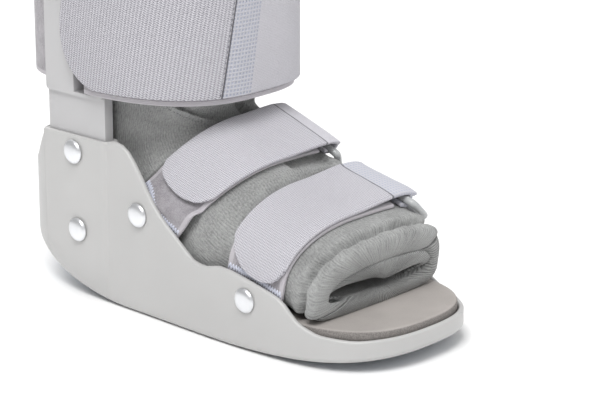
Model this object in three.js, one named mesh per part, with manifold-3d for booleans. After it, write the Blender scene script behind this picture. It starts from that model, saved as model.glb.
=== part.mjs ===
// Short walking boot for an injured foot: a rigid rocker shell with two side struts, a padded
// liner that is open at the toe and the leg, and three hook and loop straps.
// Millimetres, +Z up, toe towards -Y, struts at -X and +X, origin at the middle of the flat
// part of the sole, on the ground.
import * as THREE from 'three';
import { mergeVertices } from 'three/addons/utils/BufferGeometryUtils.js';
import Module from 'manifold-3d';

// Shell plan and sole
const heelReach = 140;
const toeReach = 140;
const heelHalfWidth = 54.3;
const ballHalfWidth = 58;
const heelCorner = { fullness: 7.5, roundness: 2.2 };
const toeCorner = { fullness: 5.7, roundness: 2.5 };
const ballStart = 0.36;
const heelEnd = 0.43;
const rockerFlatBack = 38;
const rockerFlatFront = 34;
const heelRockerRadius = 145;
const toeRockerRadius = 700;
const outsoleThickness = 2.6;
const outsoleInset = 4;
const outsoleStand = 0.8;
const soleEdgeRadius = 2.6;
const floorHeight = 15.5;
const rimHeight = 19.5;
const wall = 3;

// Strut sockets
const socketHeight = 95.5;
const bossRise = 2.3;
const bossFade = 9;
const bossSpread = 4.6;
const socketWall = 2.4;
const socketEnd = 3;
const socketFloor = 22;

// Struts
const strutThickness = 6;
const strutWidth = 46;
const strutTop = 234;
const strutCentre = 78;
const strutCorner = 17;
const strutFootCorner = 3;
const padRise = 2;
const padStart = 118.5;
const slotWidth = 14;
const slotFront = 64;
const slotMargin = 1;

// Soft parts
const foamThickness = 7.2;
const linerWall = 9;
const flapThickness = 5;
const collarHeight = 262;
const strapThickness = 2.3;
const calfStrapBottom = 125.5;
const calfStrapHeight = 77;
const calfBaseDrop = 4;
const linerEase = 1;
const tabReach = 84;
const tabRadius = 9;
const ringBar = 3;
const ringLength = 18;
const ringOverhang = 1.6;
const miterLimit = 1.6;

// Rivets
const rivetRadius = 6.9;
const rivetDome = 2.7;
const rivetShank = 2.2;
const rivetTail = 3.6;
const rivetTailThickness = 1;

// Clearances
const clearance = 0.3;
const softGap = 0.5;

// Number of facets round the liner, along the shell, round a corner, a rivet and a ring's bar
const lattice = 32;
const planSteps = 26;
const cornerFacets = 6;
const rivetFacets = 12;
const barFacets = 8;
const calfFacets = 19;

const wasm = await Module();
wasm.setup();

// Meshes

function solidOf(geometry) {
  const bare = geometry.clone();
  bare.deleteAttribute('normal');
  bare.deleteAttribute('uv');
  const merged = mergeVertices(bare, 1e-4);
  const mesh = new wasm.Mesh({
    numProp: 3,
    vertProperties: new Float32Array(merged.attributes.position.array),
    triVerts: new Uint32Array(merged.index.array),
  });
  return new wasm.Manifold(mesh);
}

function geometryOf(solid) {
  const mesh = solid.getMesh();
  const geometry = new THREE.BufferGeometry();
  geometry.setAttribute('position', new THREE.BufferAttribute(mesh.vertProperties, 3));
  geometry.setIndex(new THREE.BufferAttribute(mesh.triVerts, 1));
  geometry.computeVertexNormals();
  return geometry;
}

// A closed body through rings of equal count. It is closed on itself where loop is true;
// otherwise capStart and capEnd give the triangles that close the first and the last ring.
function skin(rings, { loop = false, capStart = [], capEnd = [] } = {}) {
  const count = rings[0].length;
  const positions = rings.flat().flatMap((point) => [point.x, point.y, point.z]);
  const index = [];
  const last = loop ? rings.length : rings.length - 1;
  for (let row = 0; row < last; row += 1) {
    const here = row * count;
    const next = ((row + 1) % rings.length) * count;
    for (let step = 0; step < count; step += 1) {
      const after = (step + 1) % count;
      index.push(here + step, here + after, next + after, here + step, next + after, next + step);
    }
  }
  const top = (rings.length - 1) * count;
  for (const [a, b, c] of capStart) index.push(c, b, a);
  for (const [a, b, c] of capEnd) index.push(top + a, top + b, top + c);
  const geometry = new THREE.BufferGeometry();
  geometry.setAttribute('position', new THREE.Float32BufferAttribute(positions, 3));
  geometry.setIndex(index);
  return outward(geometry);
}

function outward(geometry) {
  const position = geometry.attributes.position;
  const index = geometry.index.array;
  const corners = [new THREE.Vector3(), new THREE.Vector3(), new THREE.Vector3()];
  let volume = 0;
  for (let face = 0; face < index.length; face += 3) {
    corners.forEach((corner, k) => corner.fromBufferAttribute(position, index[face + k]));
    volume += corners[0].dot(corners[1].clone().cross(corners[2]));
  }
  if (volume < 0) {
    for (let face = 0; face < index.length; face += 3) {
      [index[face], index[face + 1]] = [index[face + 1], index[face]];
    }
  }
  geometry.computeVertexNormals();
  return geometry;
}

function flatCap(outline) {
  const contour = outline.map(([across, along]) => new THREE.Vector2(across, along));
  const turned = THREE.ShapeUtils.isClockWise(contour);
  const triangles = THREE.ShapeUtils.triangulateShape(contour, []);
  return turned ? triangles.map(([a, b, c]) => [c, b, a]) : triangles;
}

// Triangles that join the two sides of a plan ring which runs heel, near side, toe, far side
function ladderCap(count) {
  const toe = count / 2;
  const triangles = [[0, 1, count - 1]];
  for (let step = 1; step < toe - 1; step += 1) {
    triangles.push([step, step + 1, count - step], [step + 1, count - step - 1, count - step]);
  }
  triangles.push([toe - 1, toe, toe + 1]);
  return triangles;
}

// A plate whose outline is drawn in Y and Z, from one X to another
function sidePlate(shape, fromX, toX) {
  const geometry = new THREE.ExtrudeGeometry(shape, {
    depth: toX - fromX, bevelEnabled: false, curveSegments: cornerFacets,
  });
  const acrossY = new THREE.Vector3(0, 1, 0);
  const acrossZ = new THREE.Vector3(0, 0, 1);
  const depthX = new THREE.Vector3(1, 0, 0);
  geometry.applyMatrix4(new THREE.Matrix4().makeBasis(acrossY, acrossZ, depthX));
  geometry.translate(fromX, 0, 0);
  return geometry;
}

function block(low, high) {
  const size = high.map((value, axis) => value - low[axis]);
  const geometry = new THREE.BoxGeometry(...size);
  geometry.translate(...low.map((value, axis) => value + size[axis] / 2));
  return solidOf(geometry);
}

// Shell plan

function halfWidth(y) {
  const heel = y > 0;
  const share = Math.min(1, Math.abs(y) / (heel ? heelReach : toeReach));
  const blend = THREE.MathUtils.smoothstep(-y, -heelReach * heelEnd, toeReach * ballStart);
  const width = THREE.MathUtils.lerp(heelHalfWidth, ballHalfWidth, blend);
  const { fullness, roundness } = heel ? heelCorner : toeCorner;
  return width * (1 - share ** fullness) ** (1 / roundness);
}

function planPoint(step) {
  const middle = (heelReach - toeReach) / 2;
  const y = middle + ((heelReach + toeReach) / 2) * Math.cos((Math.PI * step) / planSteps);
  return [-halfWidth(y), y];
}

// The plan outline moved inwards, as a ring that runs heel, near side, toe, far side
function planRing(inset) {
  const near = [];
  for (let step = 0; step <= planSteps; step += 1) {
    const [x, y] = planPoint(step);
    if (step === 0 || step === planSteps) {
      near.push([0, y - Math.sign(y) * inset]);
    } else {
      const before = planPoint(step - 1);
      const after = planPoint(step + 1);
      const tangent = new THREE.Vector2(after[0] - before[0], after[1] - before[1]).normalize();
      near.push([x - tangent.y * inset, y + tangent.x * inset]);
    }
  }
  const far = near.slice(1, -1).reverse().map(([x, y]) => [-x, y]);
  return [...near, ...far];
}

function insetHalfWidth(y, inset) {
  const near = planRing(inset).slice(0, planSteps + 1);
  const after = near.findIndex((point) => point[1] <= y);
  const [a, b] = [near[after - 1], near[after]];
  return -THREE.MathUtils.mapLinear(y, a[1], b[1], a[0], b[0]);
}

function rocker(y) {
  if (y > rockerFlatBack) return (y - rockerFlatBack) ** 2 / (2 * heelRockerRadius);
  if (y < -rockerFlatFront) return (y + rockerFlatFront) ** 2 / (2 * toeRockerRadius);
  return 0;
}

// How far the floor inside the shell climbs at the heel, to stay a wall above the rocker
function floorRise(y) {
  return Math.max(0, outsoleThickness + clearance + wall + rocker(y) - floorHeight);
}

const level = () => 0;

// A body through plan rings: each has a height, an inset, and a rise that depends on Y.
function planBody(levels) {
  const rings = levels.map(({ height, inset, rise }) => (
    planRing(inset).map(([x, y]) => new THREE.Vector3(x, y, height + rise(y)))
  ));
  const cap = ladderCap(rings[0].length);
  return skin(rings, { capStart: cap, capEnd: cap });
}

// Across the strut: each face follows the one outside it
const bossFace = halfWidth(strutCentre) + bossRise;
const strutOuter = bossFace - wall - clearance;
const strutInner = strutOuter - strutThickness;
const socketInner = strutInner - clearance - socketWall;
const strutFront = strutCentre - strutWidth / 2;
const strutBack = strutCentre + strutWidth / 2;
const footbed = floorHeight + clearance + foamThickness + clearance;

// Top edge of the side walls. Along is a share of the heel reach, or of the toe reach where it
// is negative; rise is the share of the way from the rim to the top of the socket.
const wallEdge = [
  { along: 1.05, rise: 0.66 },
  { along: 0.93, rise: 0.67 },
  { along: 0.86, rise: 0.73 },
  { along: 0.765, rise: 1.0 },
  { along: 0.385, rise: 1.0 },
  { along: 0.325, rise: 1.024 },
  { along: 0.27, rise: 0.992 },
  { along: 0.226, rise: 0.907 },
  { along: 0.184, rise: 0.807 },
  { along: 0.131, rise: 0.661 },
  { along: 0.06, rise: 0.53 },
  { along: -0.009, rise: 0.441 },
  { along: -0.116, rise: 0.299 },
  { along: -0.181, rise: 0.283 },
  { along: -0.256, rise: 0.322 },
  { along: -0.329, rise: 0.312 },
  { along: -0.431, rise: 0.276 },
  { along: -0.526, rise: 0.232 },
  { along: -0.582, rise: 0.197 },
  { along: -0.618, rise: 0.128 },
  { along: -0.658, rise: 0.058 },
  { along: -0.739, rise: 0.001 },
  { along: -0.875, rise: -0.016 },
  { along: -1.05, rise: 0.01 },
];

function alongFoot(share) {
  return share * (share > 0 ? heelReach : toeReach);
}

function edgePoint({ along, rise }) {
  return new THREE.Vector2(alongFoot(along), rimHeight + rise * (socketHeight - rimHeight));
}

function edgeHeight(y) {
  const points = wallEdge.map(edgePoint);
  const after = points.findIndex((point) => point.x <= y);
  const [a, b] = [points[after - 1], points[after]];
  return THREE.MathUtils.mapLinear(y, a.x, b.x, a.y, b.y);
}

// Rivets: A and B hold the strut, C and D the near ends of the instep and toe straps
const rivetPlaces = [
  { name: 'upper_strut', y: strutCentre, share: 0.87, base: socketFloor },
  { name: 'lower_strut', y: strutCentre - 0.05 * strutWidth, share: 0.25, base: socketFloor },
  { name: 'instep', y: alongFoot(0.196), share: 0.64, base: floorHeight },
  { name: 'toe', y: alongFoot(-0.406), share: 0.54, base: floorHeight },
].map((spot) => {
  const top = Math.min(edgeHeight(spot.y), socketHeight);
  return { ...spot, z: THREE.MathUtils.lerp(spot.base, top, spot.share) };
});
const [upperStrutRivet, lowerStrutRivet, instepRivet, toeRivet] = rivetPlaces;

function rivetHole(spot) {
  const reach = ballHalfWidth + bossRise;
  const hole = new THREE.CylinderGeometry(
    rivetShank + clearance, rivetShank + clearance, 2 * reach, rivetFacets,
  );
  hole.rotateZ(Math.PI / 2);
  hole.translate(0, spot.y, spot.z);
  return solidOf(hole);
}

// Shell

function shellGeometry() {
  const above = socketHeight * 1.1;
  const edgeTop = outsoleStand + soleEdgeRadius;
  const outer = solidOf(planBody([
    { height: outsoleStand, inset: soleEdgeRadius, rise: rocker },
    { height: outsoleStand + 0.3 * soleEdgeRadius, inset: 0.3 * soleEdgeRadius, rise: rocker },
    { height: edgeTop, inset: 0, rise: rocker },
    { height: above, inset: 0, rise: level },
  ])).subtract(solidOf(planBody([
    { height: -wall, inset: outsoleInset, rise: rocker },
    { height: outsoleThickness + clearance, inset: outsoleInset, rise: rocker },
  ])));
  const boss = solidOf(planBody([
    { height: edgeTop, inset: wall / 2, rise: rocker },
    { height: edgeTop + bossFade, inset: -bossSpread, rise: rocker },
    { height: above, inset: -bossSpread, rise: level },
  ])).intersect(block(
    [-bossFace, strutFront - clearance - socketEnd / 2, 0],
    [bossFace, strutBack + clearance + socketEnd, above],
  ));
  const cavity = solidOf(planBody([
    { height: floorHeight, inset: wall, rise: floorRise },
    { height: above * 1.1, inset: wall, rise: level },
  ]));
  const full = outer.add(boss);
  let body = full.subtract(cavity);
  for (const side of [-1, 1]) {
    const spans = [side * socketInner, side * 2 * ballHalfWidth].sort((a, b) => a - b);
    const housing = block(
      [spans[0], strutFront - clearance - socketEnd, 0],
      [spans[1], strutBack + clearance + socketEnd, socketHeight],
    ).intersect(full);
    const faces = [strutInner - clearance, strutOuter + clearance].map((x) => side * x);
    faces.sort((a, b) => a - b);
    const pocket = block(
      [faces[0], strutFront - clearance, socketFloor],
      [faces[1], strutBack + clearance, above],
    );
    body = body.add(housing).subtract(pocket);
  }
  const profile = new THREE.Shape();
  const edge = wallEdge.map(edgePoint);
  profile.moveTo(edge[0].x, -floorHeight);
  edge.forEach((point) => profile.lineTo(point.x, point.y));
  profile.lineTo(edge.at(-1).x, -floorHeight);
  profile.closePath();
  body = body.intersect(solidOf(sidePlate(profile, -2 * ballHalfWidth, 2 * ballHalfWidth)));
  for (const spot of rivetPlaces) body = body.subtract(rivetHole(spot));
  return geometryOf(body);
}

function outsoleGeometry() {
  const edge = outsoleInset + clearance;
  return planBody([
    { height: 0, inset: edge + outsoleStand, rise: rocker },
    { height: outsoleStand, inset: edge, rise: rocker },
    { height: outsoleThickness, inset: edge, rise: rocker },
  ]);
}

// The foam is cut back along the sides, where strap ends and rivets line the wall, and round
// the strut sockets
function insoleGeometry() {
  const inset = wall + softGap;
  let body = solidOf(planBody([
    { height: floorHeight + clearance, inset, rise: floorRise },
    { height: floorHeight + clearance + foamThickness, inset, rise: floorRise },
  ]));
  const sideHalf = ballHalfWidth - wall - strapThickness - rivetTailThickness - 3 * softGap;
  const cuts = [
    { half: sideHalf, from: alongFoot(-0.63), to: strutFront },
    {
      half: socketInner - softGap,
      from: strutFront - clearance - socketEnd - softGap,
      to: strutBack + clearance + socketEnd + softGap,
    },
  ];
  for (const { half, from, to } of cuts) {
    body = body.subtract(block([half, from, 0], [2 * ballHalfWidth, to, socketHeight]));
    body = body.subtract(block([-2 * ballHalfWidth, from, 0], [-half, to, socketHeight]));
  }
  return geometryOf(body);
}

// Struts

function strutGeometry(side) {
  const outline = (from, to) => {
    const shape = new THREE.Shape();
    const corner = strutCorner;
    const foot = strutFootCorner;
    shape.moveTo(strutFront + foot, from);
    shape.lineTo(strutBack - foot, from);
    shape.quadraticCurveTo(strutBack, from, strutBack, from + foot);
    shape.lineTo(strutBack, to - corner);
    shape.absarc(strutBack - corner, to - corner, corner, 0, Math.PI / 2, false);
    shape.lineTo(strutFront + corner, to);
    shape.absarc(strutFront + corner, to - corner, corner, Math.PI / 2, Math.PI, false);
    shape.lineTo(strutFront, from + foot);
    shape.quadraticCurveTo(strutFront, from, strutFront + foot, from);
    return shape;
  };
  const plate = solidOf(sidePlate(outline(socketFloor + clearance, strutTop), 0, strutThickness));
  const padFace = strutThickness + padRise;
  const pad = solidOf(sidePlate(outline(padStart, strutTop), strutThickness / 2, padFace));
  const slot = new THREE.Shape();
  const half = slotWidth / 2;
  const low = calfStrapBottom - calfBaseDrop - slotMargin;
  const high = calfStrapBottom + calfStrapHeight - half;
  slot.moveTo(slotFront, low);
  slot.lineTo(slotFront + slotWidth, low);
  slot.lineTo(slotFront + slotWidth, high);
  slot.absarc(slotFront + half, high, half, 0, Math.PI, false);
  slot.lineTo(slotFront, low);
  let body = plate.add(pad);
  body = body.subtract(solidOf(sidePlate(slot, -strutThickness, 3 * strutThickness)));
  body = body.translate([strutInner, 0, 0]);
  if (side < 0) body = body.mirror([1, 0, 0]);
  for (const spot of [upperStrutRivet, lowerStrutRivet]) body = body.subtract(rivetHole(spot));
  return geometryOf(body);
}

// Liner envelope: one row for each section that crosses the foot or the leg. Front and back
// are the ends of the section in the middle plane, on the instep or shin and on the sole or
// heel. Y is a share of the heel or toe reach, Z a share of the way from the footbed to the
// collar. Foot and leg are the shares of the two half widths, waist is how far up the section
// the widest place lies, and near, far and sole say how square each side is.
const sectionColumns = [
  'frontY', 'frontZ', 'backY', 'backZ', 'foot', 'leg', 'waist', 'near', 'far', 'sole',
];
const sections = [
  [-0.757, 0.136, -0.721, 0, 0.98, 0, 0.4, 2.3, 3, 4],
  [-0.607, 0.181, -0.554, 0, 1, 0, 0.4, 2.2, 4.4, 4],
  [-0.464, 0.202, -0.409, 0, 1, 0, 0.4, 2.2, 4.5, 4],
  [-0.321, 0.223, -0.254, 0, 1, 0, 0.4, 2.2, 4.5, 4],
  [-0.221, 0.271, 0.153, 0, 0.8, 0.18, 0.42, 2.2, 4.5, 4],
  [-0.086, 0.309, 0.343, 0, 0.4, 0.58, 0.42, 2.2, 4.5, 3.6],
  [0.043, 0.344, 0.519, 0, 0.1, 0.87, 0.44, 2.2, 4.2, 3.2],
  [0.064, 0.363, 0.743, 0.028, 0, 0.95, 0.48, 2.2, 3.4, 2.8],
  [0.064, 0.38, 0.871, 0.078, 0, 0.94, 0.5, 2.3, 2.8, 2.6],
  [0.036, 0.401, 0.929, 0.171, 0, 0.95, 0.5, 2.4, 2.5, 2.5],
  [-0.014, 0.42, 0.943, 0.3, 0, 0.97, 0.5, 2.4, 2.7, 2.5],
  [-0.036, 0.447, 0.957, 0.447, 0, 1, 0.5, 2.4, 3.3, 2.5],
  [-0.05, 0.594, 0.979, 0.606, 0, 1, 0.5, 2.4, 3.3, 2.5],
  [-0.043, 0.761, 0.979, 0.774, 0, 1, 0.5, 2.4, 3.3, 2.5],
  [-0.014, 0.95, 0.95, 1, 0, 1, 0.5, 2.4, 3.3, 2.5],
].map((row) => Object.fromEntries(row.map((value, column) => [sectionColumns[column], value])));
const toeStrapRows = [1, 3];
const instepStrapRows = [4, 6];
const footHalf = ballHalfWidth - wall - 2 * (strapThickness + softGap) + linerEase;
const legHalf = strutInner - 2 * clearance - strapThickness;

function sectionAt(station) {
  const low = Math.min(Math.floor(station), sections.length - 2);
  const share = station - low;
  const row = {};
  for (const key of Object.keys(sections[0])) {
    row[key] = THREE.MathUtils.lerp(sections[low][key], sections[low + 1][key], share);
  }
  const height = (value) => THREE.MathUtils.lerp(footbed, collarHeight, value);
  const front = new THREE.Vector2(alongFoot(row.frontY), height(row.frontZ));
  const back = new THREE.Vector2(alongFoot(row.backY), height(row.backZ));
  const length = front.distanceTo(back);
  const rise = front.clone().sub(back).divideScalar(length);
  return { ...row, back, length, rise, half: row.foot * footHalf + row.leg * legHalf };
}

function squared(value, squareness) {
  return Math.sign(value) * Math.abs(value) ** (2 / squareness);
}

// A point of a section, in the section's own plane: how far across, and how far up from its
// back end. Turn runs from 0 on the instep to -0.5 round the near side or 0.5 round the far one.
function across(section, turn, grow) {
  const angle = turn * 2 * Math.PI;
  const upper = Math.cos(angle) >= 0;
  const side = turn < 0 ? section.near : section.far;
  const squareness = upper ? side : section.sole;
  const reach = (upper ? 1 - section.waist : section.waist) * section.length + grow;
  return [
    (section.half + grow) * squared(Math.sin(angle), squareness),
    section.waist * section.length + reach * squared(Math.cos(angle), squareness),
  ];
}

function place(section, [x, up]) {
  const spot = section.back.clone().addScaledVector(section.rise, up);
  return new THREE.Vector3(x, spot.x, spot.y);
}

const footFlapTurns = [-11, 5].map((step) => step / lattice);
const legFlapTurns = [-9, 2].map((step) => step / lattice);
const footFlapStations = [0, 1, 2, 3, 3.5, 4, 5, 6];
const legFlapStations = [10.5, 11, 12, 13, 14];

// How deep the liner is let in under the flaps
function recess(station, turn) {
  const flaps = [
    { stations: footFlapStations, turns: footFlapTurns },
    { stations: legFlapStations, turns: legFlapTurns },
  ];
  const slack = 0.5 / lattice;
  const under = flaps.some(({ stations, turns }) => (
    station >= stations[0] && station <= stations.at(-1)
    && turn > turns[0] - slack && turn < turns[1] + slack
  ));
  return under ? flapThickness + softGap : 0;
}

function linerGeometry() {
  const stations = [
    ...footFlapStations, 6.4, 7, 7.5, 8, 8.5, 9, 10, 10.3, ...legFlapStations,
  ];
  const ring = (station, inset) => {
    const section = sectionAt(station);
    return Array.from({ length: lattice }, (_, step) => {
      const turn = step / lattice - 0.5;
      return place(section, across(section, turn, -inset(station, turn)));
    });
  };
  const outer = stations.map((station) => ring(station, recess));
  const inner = stations.map((station) => ring(station, () => linerWall)).reverse();
  return skin([...outer, ...inner], { loop: true });
}

function flapGeometry(stations, turns) {
  const [first, last] = turns.map((turn) => Math.round(turn * lattice));
  let outline;
  const rings = stations.map((station) => {
    const section = sectionAt(station);
    const over = [];
    const under = [];
    for (let step = first; step <= last; step += 1) {
      over.push(across(section, step / lattice, 0));
      under.unshift(across(section, step / lattice, -flapThickness));
    }
    outline = [...over, ...under];
    return outline.map((point) => place(section, point));
  });
  const cap = flatCap(outline);
  return skin(rings, { capStart: cap, capEnd: cap });
}

// Straps

// The outline of a band of even thickness along a path in a plane
function ribbon(path, thickness) {
  const left = [];
  const right = [];
  path.forEach((point, step) => {
    const before = path[Math.max(0, step - 1)];
    const after = path[Math.min(path.length - 1, step + 1)];
    const into = new THREE.Vector2(point[0] - before[0], point[1] - before[1]);
    const out = new THREE.Vector2(after[0] - point[0], after[1] - point[1]);
    const sum = into.clone().normalize().add(out.clone().normalize()).normalize();
    const reference = into.length() > 0 ? into.normalize() : out.normalize();
    const miter = 1 / Math.max(1 / miterLimit, Math.abs(sum.dot(reference)));
    const half = (thickness / 2) * miter;
    left.push([point[0] - sum.y * half, point[1] + sum.x * half]);
    right.unshift([point[0] + sum.y * half, point[1] - sum.x * half]);
  });
  return [...left, ...right];
}

// A band of even thickness over the liner: its path is drawn in the plane of each section
function bandBody(rows, shares, pathAt, thickness) {
  let outline;
  const caps = [];
  const rings = shares.map((share) => {
    const section = sectionAt(THREE.MathUtils.lerp(rows[0], rows[1], share));
    outline = ribbon(pathAt(section, share), thickness);
    caps.push(outline);
    return outline.map((point) => place(section, point));
  });
  return skin(rings, { capStart: flatCap(caps[0]), capEnd: flatCap(outline) });
}

// Where a strap end lies flat on the inside of the shell wall, at a given height
function wallPoint(section, height, side, stack) {
  const up = (height - section.back.y) / section.rise.y;
  const y = section.back.x + section.rise.x * up;
  return [side * (insetHalfWidth(y, wall) - softGap - stack), up];
}

const baseGrow = softGap + strapThickness / 2;
const topGrow = baseGrow + strapThickness + softGap;
const turnRadius = ringBar / 2 + softGap + clearance + strapThickness / 2;
const foldGrow = baseGrow + 2 * turnRadius;

// Foot straps. Turns say where each part ends round the foot: the base strip on the far side,
// the fold round the ring, and the tab on the near side at its front and rear edge. Leave is
// where the base strip leaves the liner for the shell wall, and drop is how many rivet radii
// it hangs below the rivet at its front and rear edge.
const footStraps = [
  {
    name: 'toe', rows: toeStrapRows, rivet: toeRivet, baseEnd: 0.05, fold: 0.098,
    tab: [-0.262, -0.205], join: -4, leave: -8, drop: [1.16, 1.16],
  },
  {
    name: 'instep', rows: instepStrapRows, rivet: instepRivet, baseEnd: 0.05, fold: 0.098,
    tab: [-0.186, -0.165], join: -4, leave: -6, drop: [2.6, -0.29],
  },
];

function latticeTurns(fromStep, toTurn) {
  const turns = [];
  for (let step = fromStep; step < toTurn * lattice - 0.2; step += 1) turns.push(step / lattice);
  return turns;
}

// Points round a bar: from one side of it to the other, over its top
function roundBar(centre, start, heading, radius) {
  return [0, 0.25, 0.5, 0.75, 1].map((share) => {
    const angle = share * Math.PI;
    return centre.map((value, axis) => (
      value + radius * (start[axis] * Math.cos(angle) + heading[axis] * Math.sin(angle))
    ));
  });
}

// The fold of a strap: the bar's centre, the way out of the surface and the way along it
function foldFrame(section, turn) {
  const before = across(section, turn - 0.02, baseGrow);
  const after = across(section, turn + 0.02, baseGrow);
  const tangent = new THREE.Vector2(after[0] - before[0], after[1] - before[1]).normalize();
  const normal = [-tangent.y, tangent.x];
  const inner = across(section, turn, baseGrow);
  const centre = inner.map((value, axis) => value + turnRadius * normal[axis]);
  return { centre, normal, tangent: [tangent.x, tangent.y] };
}

function footStrapBase({ rows, rivet, baseEnd, leave, drop }) {
  const path = (section, share) => {
    const low = rivet.z - rivetRadius * THREE.MathUtils.lerp(drop[0], drop[1], share);
    const high = Math.max(rivet.z, low) + rivetRadius;
    const ends = [low, high].map((height) => wallPoint(section, height, -1, strapThickness / 2));
    const round = [...latticeTurns(leave, baseEnd), baseEnd];
    return [...ends, ...round.map((turn) => across(section, turn, baseGrow))];
  };
  const body = solidOf(bandBody(rows, [0, 0.5, 1], path, strapThickness));
  return geometryOf(body.subtract(rivetHole(rivet)));
}

// How far a rounded end draws back at a distance from its edge
function cornerDraw(distance, radius) {
  const short = Math.max(0, radius - distance);
  return radius - Math.sqrt(radius ** 2 - short ** 2);
}

function footStrapTop({ rows, baseEnd, fold, tab, join }) {
  const width = place(sectionAt(rows[0]), across(sectionAt(rows[0]), 0, 0))
    .distanceTo(place(sectionAt(rows[1]), across(sectionAt(rows[1]), 0, 0)));
  const girth = 2 * Math.PI * footHalf;
  const shares = [0, 0.06, 0.2, 0.5, 0.8, 0.94, 1];
  const path = (section, share) => {
    const draw = cornerDraw(Math.min(share, 1 - share) * width, tabRadius);
    const end = THREE.MathUtils.lerp(tab[0], tab[1], share) + draw / girth;
    const start = [0, 0.25, 0.5, 0.75].map((part) => THREE.MathUtils.lerp(end, join / lattice, part));
    const turns = [...start, ...latticeTurns(join, fold - 0.5 / lattice)];
    const over = turns.map((turn) => {
      const lift = THREE.MathUtils.smoothstep(turn, 0, fold);
      return across(section, turn, THREE.MathUtils.lerp(topGrow, foldGrow, lift));
    });
    const { centre, normal, tangent } = foldFrame(section, fold);
    const bend = roundBar(centre, normal, tangent, turnRadius);
    return [...over, ...bend, across(section, (baseEnd + fold) / 2, baseGrow)];
  };
  return bandBody(rows, shares, path, strapThickness);
}

// The ring's two long bars, as the end points of their centre lines. The lower bar hangs from
// the fold in the direction that just clears the liner.
function ringBars({ rows, fold }) {
  const over = ringBar * ringOverhang;
  const ends = rows.map((row) => {
    const section = sectionAt(row);
    return place(section, foldFrame(section, fold).centre);
  });
  const along = ends[1].clone().sub(ends[0]).normalize();
  ends[0].addScaledVector(along, -over);
  ends[1].addScaledVector(along, over);
  const section = sectionAt((rows[0] + rows[1]) / 2);
  const start = foldFrame(section, fold).centre;
  let bearing = -Math.PI;
  for (let step = Math.ceil(fold * lattice); step <= lattice / 4; step += 0.5) {
    const spot = across(section, step / lattice, turnRadius + strapThickness / 2);
    bearing = Math.max(bearing, Math.atan2(spot[1] - start[1], spot[0] - start[0]));
  }
  const heading = new THREE.Vector3(
    Math.cos(bearing), Math.sin(bearing) * section.rise.x, Math.sin(bearing) * section.rise.y,
  );
  const lower = ends.map((end) => end.clone().addScaledVector(heading, ringLength));
  return { upper: ends, lower, along, heading };
}

function ringGeometry(strap) {
  const { upper, lower, along, heading } = ringBars(strap);
  const radius = ringBar;
  const corners = [
    { at: upper[0], side: -1, hang: -1 },
    { at: upper[1], side: 1, hang: -1 },
    { at: lower[1], side: 1, hang: 1 },
    { at: lower[0], side: -1, hang: 1 },
  ];
  const facing = along.clone().cross(heading).normalize();
  const rings = [];
  corners.forEach(({ at, side, hang }, quarter) => {
    const middle = at.clone().addScaledVector(along, -side * radius)
      .addScaledVector(heading, -hang * radius);
    for (const share of [0, 0.5, 1]) {
      const angle = (quarter - 2 + share) * (Math.PI / 2);
      const out = along.clone().multiplyScalar(Math.cos(angle))
        .addScaledVector(heading, Math.sin(angle));
      const spot = middle.clone().addScaledVector(out, radius);
      rings.push(Array.from({ length: barFacets }, (_, step) => {
        const turn = ((step + 0.5) * 2 * Math.PI) / barFacets;
        return spot.clone().addScaledVector(out, (ringBar / 2) * Math.cos(turn))
          .addScaledVector(facing, (ringBar / 2) * Math.sin(turn));
      }));
    }
  });
  return skin(rings, { loop: true });
}

// Where the plane of a section passes the top edge of the shell wall
function edgeAlong(section) {
  let height = rimHeight;
  for (let pass = 0; pass < 12; pass += 1) {
    const up = (height - section.back.y) / section.rise.y;
    const edge = edgeHeight(section.back.x + section.rise.x * up);
    height = THREE.MathUtils.lerp(height, edge, 0.5);
  }
  return height;
}

// The short webbing that holds the ring's lower bar to the far wall
function anchorGeometry(strap) {
  const { rows, rivet, drop } = strap;
  const { lower } = ringBars(strap);
  const inner = [0.2, 0.8].map((share) => THREE.MathUtils.lerp(rows[0], rows[1], share));
  const path = (section, share) => {
    const facing = new THREE.Vector3(0, section.rise.y, -section.rise.x);
    const start = new THREE.Vector3(0, section.back.x, section.back.y);
    const away = lower.map((end) => end.clone().sub(start).dot(facing));
    const spot = lower[0].clone().lerp(lower[1], away[0] / (away[0] - away[1]));
    const offset = new THREE.Vector2(spot.y, spot.z).sub(section.back);
    const bar = new THREE.Vector2(spot.x, offset.dot(section.rise));
    const hang = THREE.MathUtils.lerp(drop[0], drop[1], 0.2 + 0.6 * share);
    const low = rivet.z - rivetRadius * hang;
    const high = Math.max(rivet.z + rivetRadius, edgeAlong(section)) + 2 * softGap;
    const ends = [low, high].map((height) => wallPoint(section, height, 1, strapThickness / 2));
    const up = bar.clone().sub(new THREE.Vector2(...ends[1])).normalize();
    const bend = roundBar([bar.x, bar.y], [up.y, -up.x], [up.x, up.y], turnRadius);
    const tail = [bend.at(-1)[0], bend.at(-1)[1] - turnRadius];
    return [...ends, ...bend, tail];
  };
  const body = solidOf(bandBody(inner, [0, 0.5, 1], path, strapThickness));
  return geometryOf(body.subtract(rivetHole(rivet)));
}

// Calf straps: plan loops that pass inside the struts behind the slots and outside them in front
const calfRow = sectionAt(12);
const calfFront = alongFoot(calfRow.frontY) - baseGrow;
const calfBack = alongFoot(calfRow.backY) + baseGrow;
const calfMiddle = (calfFront + calfBack) / 2;
const calfDepth = (calfBack - calfFront) / 2;
const insideHalf = strutInner - clearance - strapThickness / 2;
const outsideHalf = strutOuter + padRise + softGap + strapThickness / 2;
const calfSquareness = { near: 2.4, far: 3.4, back: 2.5 };

function calfHalf(y, half, grow, side) {
  const share = Math.min(1, Math.abs(y - calfMiddle) / (calfDepth + grow));
  const front = side < 0 ? calfSquareness.near : calfSquareness.far;
  const squareness = y > calfMiddle ? calfSquareness.back : front;
  return side * (half + grow) * (1 - share ** squareness) ** (1 / squareness);
}

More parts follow.
